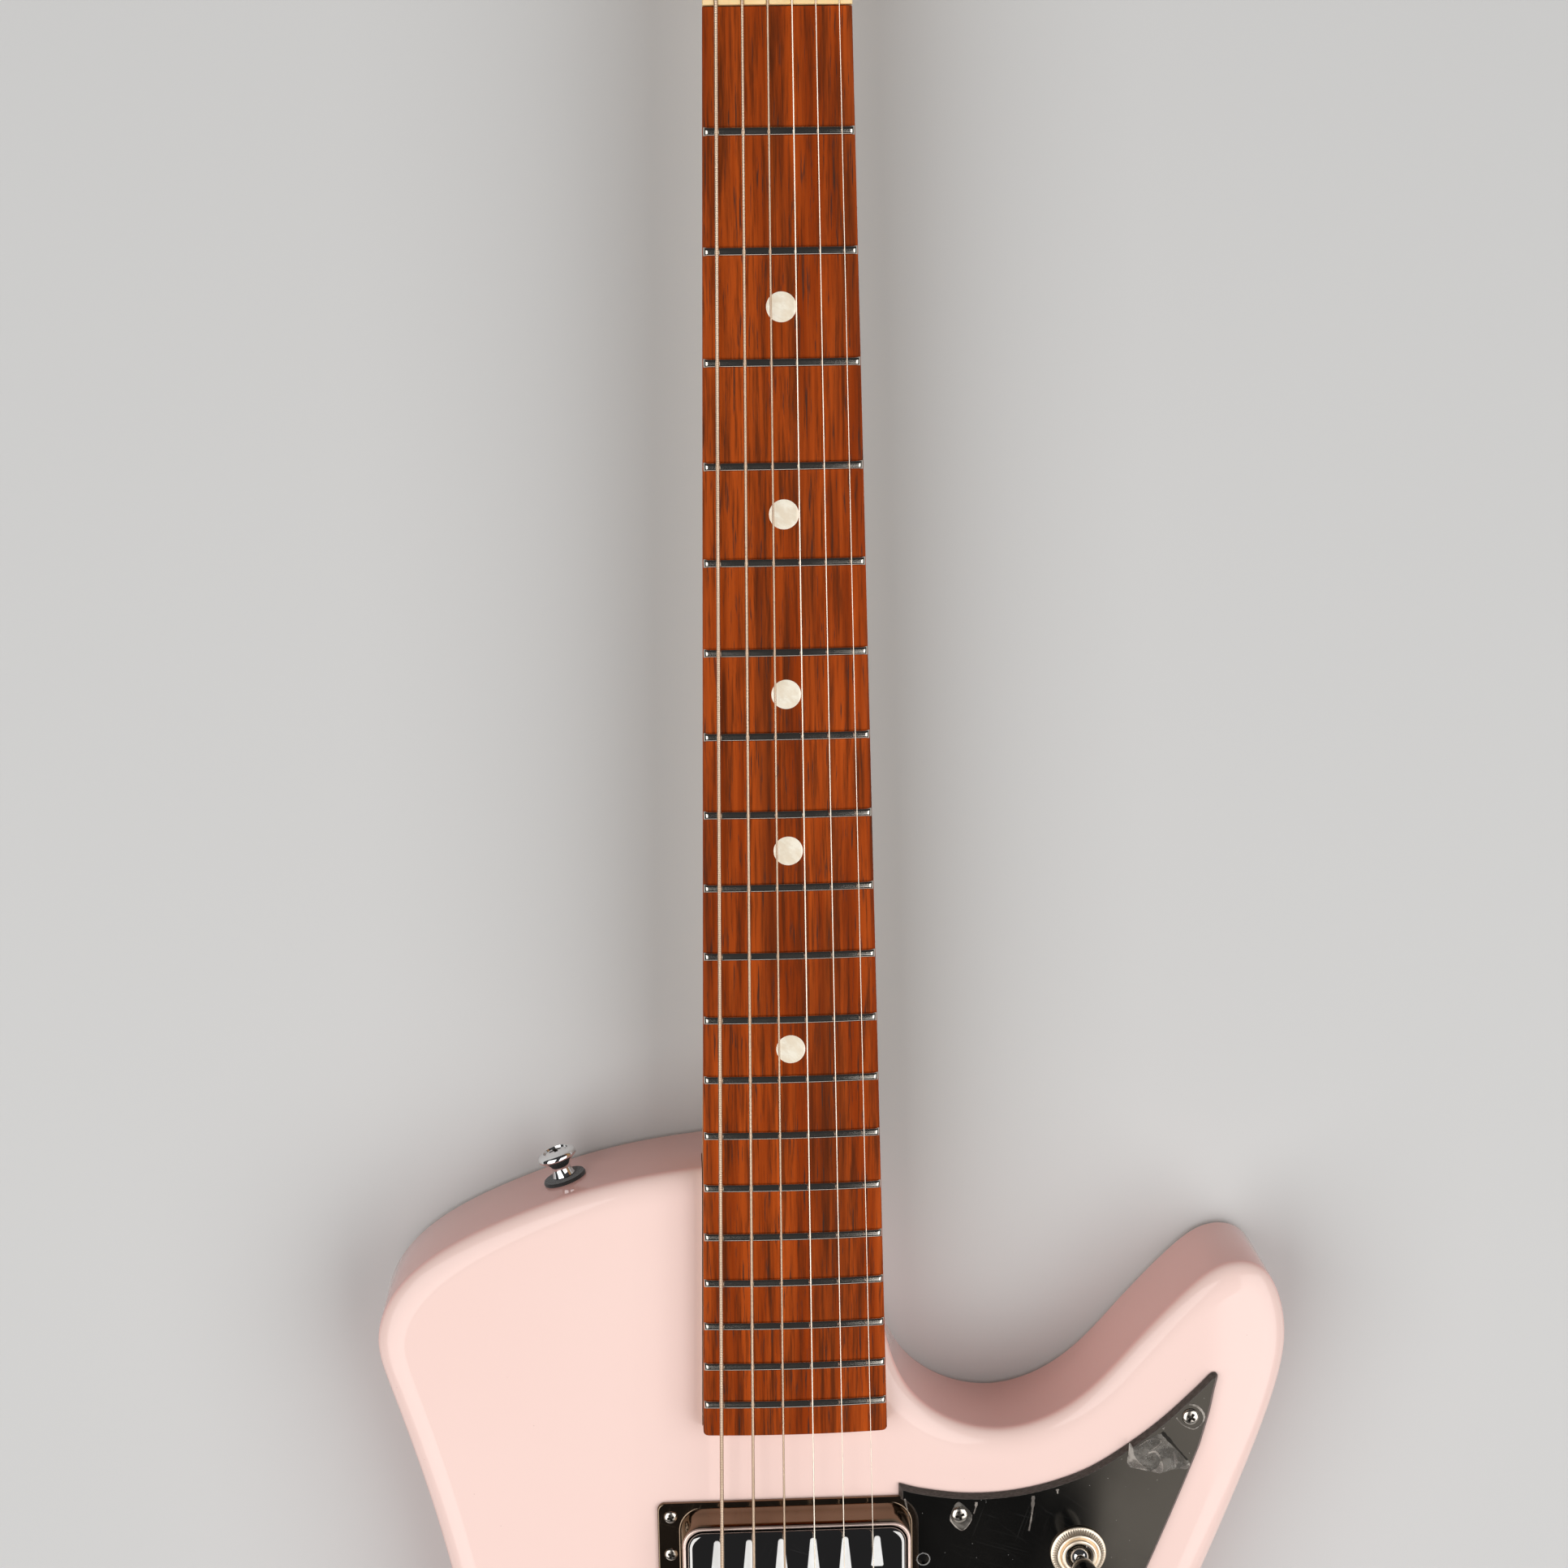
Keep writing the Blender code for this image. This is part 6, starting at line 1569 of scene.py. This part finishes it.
def makeBridgeStud(name, node, x, made):
    low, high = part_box(node)
    wheelTop = bridgeLow.z - gap
    under = wheelTop - made["wheelThick"]
    stud, edge = made["stud"], made["studEdge"]
    profile = [(made["anchor"], low.z), (made["anchor"], under)]
    profile += profiled(made["wheelFoot"], under) + profiled(made["wheelTop"], wheelTop)
    profile += [(stud, high.z - edge), (stud - edge, high.z)]
    slot = blade((*made["studSlot"], high.z - made["studSlotDepth"]), (*made["studSlot"], high.z + over))
    build(name, turned(profile, made["knurls"] * 4), chrome, node, place=at(x, 0), cuts=[slot])


bridgeTop = bridgeLow.z + bridgeSet["height"]
makeBridgeBar(bridgeSet, bridgeTop)
makeSaddles(bridgeSet, bridgeTop)
makeBridgeStud("bridgePostBass", "bridge_stud_bass", -bridgeSet["studX"], bridgeSet)
makeBridgeStud("bridgePostTreble", "bridge_stud_treble", bridgeSet["studX"], bridgeSet)
print("bridge done")


# tailpiece with string ends and its two studs

tailSet = dict(
    corner=0.0035, taper=0.62, endRun=0.006, endSteps=12, endCurve=0.8, cutOver=0.01,
    hole=0.0011, holeReach=0.02, sink=0.0022, sinkLength=0.008, sinkDepth=0.004,
    ball=((0.8, -1.5), (1.615, -1.5), (1.9, -1.1), (1.52, 0), (1.9, 1.1), (1.615, 1.5), (0.8, 1.5)),
    ballDepth=0.0021, studX=0.04125, studSpace=0.0002, neck=0.003, anchor=0.0035,
    flangeFoot=((5.3, 0.3), (5.6, 0.6)), flangeTop=((5.6, -0.3), (5.3, 0)),
    head=((5.2, 0), (5.6, 0.4), (5.6, 1.4), (5.264, 2.1), (4.48, 2.7), (2.8, 2.95), (0.3, 3.0)),
    slot=(0.0055, 0.0008), slotFoot=0.0013, slotTop=0.005,
)


def makeTailpiece(made):
    section = roundBox(tailWidth, tailHigh.z - tailLow.z, made["corner"], 8)
    stations = []
    for step in range(made["endSteps"] + 1):
        turn = math.pi / 2 * step / made["endSteps"]
        swell = made["taper"] + (1 - made["taper"]) * math.sin(turn) ** made["endCurve"]
        stations.append((tailLow.x + made["endRun"] * (1 - math.cos(turn)), swell))
    stations += [(-x, size) for x, size in reversed(stations)]
    loops = [[(x, tailY + y * size, tailZ + z * size) for y, z in section] for x, size in stations]
    cuts, balls = [], []
    for number in range(stringCount):
        x = bridgeX(number)
        place = at(x, tailY, tailZ) @ spun(math.pi / 2, 'X')
        hole = turned([(made["hole"], -made["holeReach"]), (made["hole"], made["holeReach"])], 20)
        sink = turned([(made["sink"], 0.0), (made["sink"], made["sinkLength"])], 24)
        cuts += [moved(hole, place), moved(sink, place @ at(0, 0, tailWidth / 2 - made["sinkDepth"]))]
        place = at(x, tailY - tailWidth / 2 + made["ballDepth"], tailZ) @ spun(math.pi / 2, 'Y')
        balls.append(moved(turned(profiled(made["ball"]), 24, True), place))
    for x in (-made["studX"], made["studX"]):
        cuts.append(bore(made["neck"] + made["studSpace"], 28, (x, tailY),
                         tailLow.z - made["cutOver"], tailHigh.z + made["cutOver"]))
    build("tailpieceBar", loft(loops), chrome, "tailpiece", sharp=45, cuts=cuts)
    build("stringEnds", merged(balls), brass)


def makeTailStud(name, node, x, made):
    under, above = tailLow.z - gap, tailHigh.z + gap
    profile = [(made["anchor"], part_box(node)[0].z), (made["anchor"], bodyTop)]
    profile += profiled(made["flangeFoot"], bodyTop) + profiled(made["flangeTop"], under)
    profile += [(made["neck"], under), (made["neck"], above)] + profiled(made["head"], above)
    slot = blade((*made["slot"], above + made["slotFoot"]), (*made["slot"], above + made["slotTop"]))
    build(name, turned(profile), chrome, node, place=at(x, tailY), cuts=[slot])


makeTailpiece(tailSet)
makeTailStud("tailStudBass", "tailpiece_stud_bass", -tailSet["studX"], tailSet)
makeTailStud("tailStudTreble", "tailpiece_stud_treble", tailSet["studX"], tailSet)
print("tailpiece done")


# strap buttons on felt washers

strapSet = dict(
    screw=((0.9, -20), (1.8, -16), (1.8, 1.1), (3.42, 1.1)),
    spool=((3.6, 1.5), (3.384, 2.058), (3.1, 3.038), (3.007, 4.214), (3.41, 5.292), (4.712, 6.468),
              (5.952, 7.399), (6.2, 8.134), (5.952, 8.918), (5.208, 9.457), (4.2, 9.8)),
    dish=((4.0, 9.8), (3.7, 9.0), (0.4, 9.0)), headRise=0.0089, headScale=(2.3, 2.3, 1.2, 1),
    felt=((2.0, -0.2), (6.6, -0.2), (6.8, 0.44), (6.5, 1.1), (2.0, 1.1)), upperX=-0.07, lowerX=0.0,
)


def edgeSpot(x, upper):
    hits = []
    corners = [Vector(point) for point in bodyOutline]
    for a, b in zip(corners, corners[1:] + corners[:1]):
        if (a.x - x) * (b.x - x) <= 0 and a.x != b.x:
            run = (b - a).normalized()
            hits.append((a + (b - a) * (x - a.x) / (b.x - a.x), Vector((run.y, -run.x))))
    return (max if upper else min)(hits, key=lambda hit: hit[0].y)


def makeStrapButton(name, node, x, upper, made):
    spot, out = edgeSpot(x, upper)
    place = onAxis((spot.x, spot.y, bodyTop / 2), (out.x, out.y, 0))
    profile = profiled(made["screw"]) + openCurve(profiled(made["spool"]), 5) + profiled(made["dish"])
    build(name, turned(profile), chrome, node, place=place, sharp=40)
    head = place @ at(0, 0, made["headRise"]) @ Matrix.Diagonal(made["headScale"])
    show(name + "Screw", smallScrew, place=head)
    build(name + "Felt", turned(profiled(made["felt"]), ring=True), felt, place=place)


makeStrapButton("strapButtonUpper", "strap_button_upper", strapSet["upperX"], True, strapSet)
makeStrapButton("strapButtonLower", "strap_button_lower", strapSet["lowerX"], False, strapSet)
print("strap buttons done")


# neck plate on the back

plateSet = dict(corner=0.0045, edge=0.0005, headRoom=0.0043, cutTop=0.01, headZ=0.0018, screwTurn=0.8)


def makeNeckPlate(made):
    size = plateHigh - plateLow
    outline = roundBox(size.x, size.y, made["corner"], 10, middle("neck_plate").xy)
    levels = roundedFoot(made["edge"], plateLow.z, 5) + [(0, plateHigh.z)]
    nodes = ["neck_screw_%d" % number for number in range(1, 5)]
    spots = [middle(node).xy for node in nodes]
    holes = [bore(made["headRoom"], 32, spot, -over, made["cutTop"]) for spot in spots]
    build("neckPlate", plate(outline, levels), chrome, "neck_plate", sharp=45, cuts=holes)
    for number, (node, spot) in enumerate(zip(nodes, spots), 1):
        place = at(*spot, made["headZ"]) @ spun(math.pi, 'X') @ spun(made["screwTurn"] * number)
        show("neckScrew%d" % number, plateScrew, node, place=place)


makeNeckPlate(plateSet)


# truss rod cover and tuners on the headstock

coverSet = dict(
    width=0.024, length=0.034, start=0.0015, thick=0.002, edge=0.0007, rim=(0.9, 0.00005),
    side=((1, 0.0), (0.9, 0.3), (0.45, 0.65), (0.3, 0.9), (0.0, 1)),     # shares of the half width and length
    screws=((-0.0083, 0.0065), (0.0083, 0.0065), (0.0, 0.0315)), screwTurn=1.1,
)


def makeTrussCover(made):
    half, length, top = made["width"] / 2, made["length"], gap + made["thick"]
    right = openCurve([(half * across, length * along) for across, along in made["side"]], 8)
    right = [(x, y + made["start"]) for x, y in right]
    outline = right + [(-x, y) for x, y in reversed(right[:-1])]
    rimShare, rimDown = made["rim"]
    edge = made["edge"]
    levels = ((0, gap), (0, top - edge), (edge * rimShare, top - rimDown), (edge, top))
    solid = secondFinish(plate(outline, levels), isEdge)
    build("trussCover", solid, (guardBlack, guardEdge), "truss_rod_cover",
          place=headFrame, sharp=25)
    for number, spot in enumerate(made["screws"]):
        place = headFrame @ at(*spot, top - screwSink) @ spun(number * made["screwTurn"])
        show("trussCoverScrew%d" % (number + 1), smallScrew, place=place)


tunerSet = dict(
    head=0.014, reach=0.0061, near=-0.0061, far=0.0108, drop=0.0219, corner=0.0026,
    round=0.0014, flat=0.0004, bush=0.0047, bushRise=0.0008, bushWall=0.0006, bushFoot=0.001,
    bushEdge=0.0005, boreEdge=0.0003, post=0.003, postHeight=0.011, wrapRise=(0.0012, 0.0017),
    postTop=((0.0009, 1), (0.0004, 1), (0, 0.85)), hole=0.0008, holeReach=0.01, holeDown=0.95,
    gear=0.0045, gearThick=0.0036, gearZ=-0.0181, shaft=0.0015, worm=0.0022, wormLength=0.0085,
    wormY=0.007, collar=0.0027, collarLength=0.0022, collarSpace=0.0002, collarSunk=0.0001,
    collarEdge=(0.0004, 0.7), ear=(0.0062, 0.0062, 0.003), earShift=0.0018, earThick=0.0018,
    earEdge=0.0003, screwShift=0.0022, screwDown=0.0017,
    button=(0.013, 0.018, 0.0058), buttonStart=0.0175, stem=1.6, stemEdge=(0.0003, 0.94),
    swell=((0.08, 0.40), (0.15, 0.56), (0.35, 0.90), (0.6, 1.0), (0.82, 0.85), (0.95, 0.55), (0.99, 0.3),
           (1.0, 0.08)),
)


def tunerHousing(made):
    top = -made["head"] - gap
    centre = (0, (made["near"] + made["far"]) / 2)
    outline = roundBox(2 * made["reach"], made["far"] - made["near"], made["corner"], 8, centre)
    case = plate(outline, roundedFoot(made["round"], -made["drop"], 6, made["flat"]) + [(0, top)])
    r, rise = made["bush"], made["bushRise"]
    tube, inner = r - made["bushWall"], made["post"] + gap
    foot, edge = top - made["bushFoot"], made["boreEdge"]
    bush = turned([(inner, foot), (tube, foot), (tube, 0), (r, 0), (r, rise * 0.5),
                   (r - made["bushEdge"], rise), (inner + edge, rise), (inner, rise - edge)], ring=True)
    hole, length = made["shaft"] + made["collarSpace"], made["collarLength"]
    edge, share = made["collarEdge"]
    collar = turned([(hole, 0), (made["collar"], 0), (made["collar"], length * share),
                     (made["collar"] - edge, length), (hole, length)], 36, True)
    place = at(made["reach"] - made["collarSunk"], made["wormY"], made["gearZ"]) @ spun(math.pi / 2, 'Y')
    foot = top - made["earThick"]
    levels = ((made["earEdge"], foot), (0, foot + made["earEdge"]), (0, top))
    ear = plate(roundBox(*made["ear"], 8, (0, made["near"] - made["earShift"])), levels)
    return merged([case, bush, ear, moved(collar, place)])


def tunerPost(made):
    half, gear, gearZ = made["gearThick"] / 2, made["gear"], made["gearZ"]
    r, h = made["post"], made["postHeight"]
    wrapEnd, waist = (stringSet["wrapHeight"] + rise for rise in made["wrapRise"])
    profile = [(gear, gearZ - half), (gear, gearZ + half), (r, gearZ + half), (r, wrapEnd), (r * 0.93, waist),
               (r * 0.87, h - r), (r * 0.90, h - r * 0.6)]
    profile += [(r * share, h - down) for down, share in made["postTop"]]
    hole = turned([(made["hole"], -made["holeReach"]), (made["hole"], made["holeReach"])], 20)
    cut = moved(hole, at(0, 0, h - r * made["holeDown"]) @ spun(math.pi / 2, 'Y'))
    return toMesh("tunerPost", turned(profile, 40), chrome, cuts=[cut])


def tunerKey(made):
    wide, long, thick = made["button"]
    start, shaft, worm = made["buttonStart"], made["shaft"], made["worm"]
    stem, half = shaft * made["stem"], made["wormLength"] / 2
    edge, share = made["stemEdge"]
    stalk = ((-half, worm), (half, worm), (half, shaft), (start, shaft), (start, stem * share))
    rows = [(z, r, r) for z, r in (*stalk, (start + edge, stem))]
    for share, size in openCurve(made["swell"], 4):
        least = stem if share < 0.5 else 0            # the button grows out of its stem
        rows.append((start + long * share, max(wide / 2 * size, least), max(thick / 2 * size ** 0.7, least)))
    loops = [[(b * deep, a * across, z) for a, b in ringPoints(1, 32)] for z, across, deep in rows]
    return toMesh("tunerKey", loft(loops), chrome, 45)


def makeTuners(made):
    housing = toMesh("tunerHousing", tunerHousing(made), chrome, 38)
    post, key = tunerPost(made), tunerKey(made)
    for label in range(1, stringCount + 1):
        postNode, keyNode = "tuner_post_%d" % label, "tuner_key_%d" % label
        spot = headFrame.inverted() @ Vector(joints[postNode + "_turn"]["pos_m"])
        side = 1 if spot.x > 0 else -1
        place = headFrame @ at(spot.x, spot.y)
        mesh = housing
        if side < 0:
            mesh = housing.copy()
            mesh.transform(Matrix.Diagonal((side, 1, 1, 1)))
            mesh.flip_normals()
        show("tunerHousing%d" % label, mesh, "tuner_housing_%d" % label, place=place)
        ear = at(0, made["near"] - made["screwShift"], -made["head"] - gap - made["screwDown"])
        show("tunerScrew%d" % label, smallScrew, place=place @ ear @ spun(math.pi, 'X'))
        show("tunerPost%d" % label, post, postNode, postNode, place)
        axle = place @ at(0, made["wormY"], made["gearZ"]) @ spun(side * math.pi / 2, 'Y')
        show("tunerKey%d" % label, key, keyNode, keyNode, axle)


makeTrussCover(coverSet)
makeTuners(tunerSet)
print("headstock done")


# pieces inside the body keep their frame shapes

insideSet = {"truss_rod": steel, "switch_body": nickel, "volume_pot": nickel, "tone_pot": nickel}
for node, finish in insideSet.items():
    mesh = frame["nodes"][node].data
    mesh.materials.clear()
    mesh.materials.append(finish)
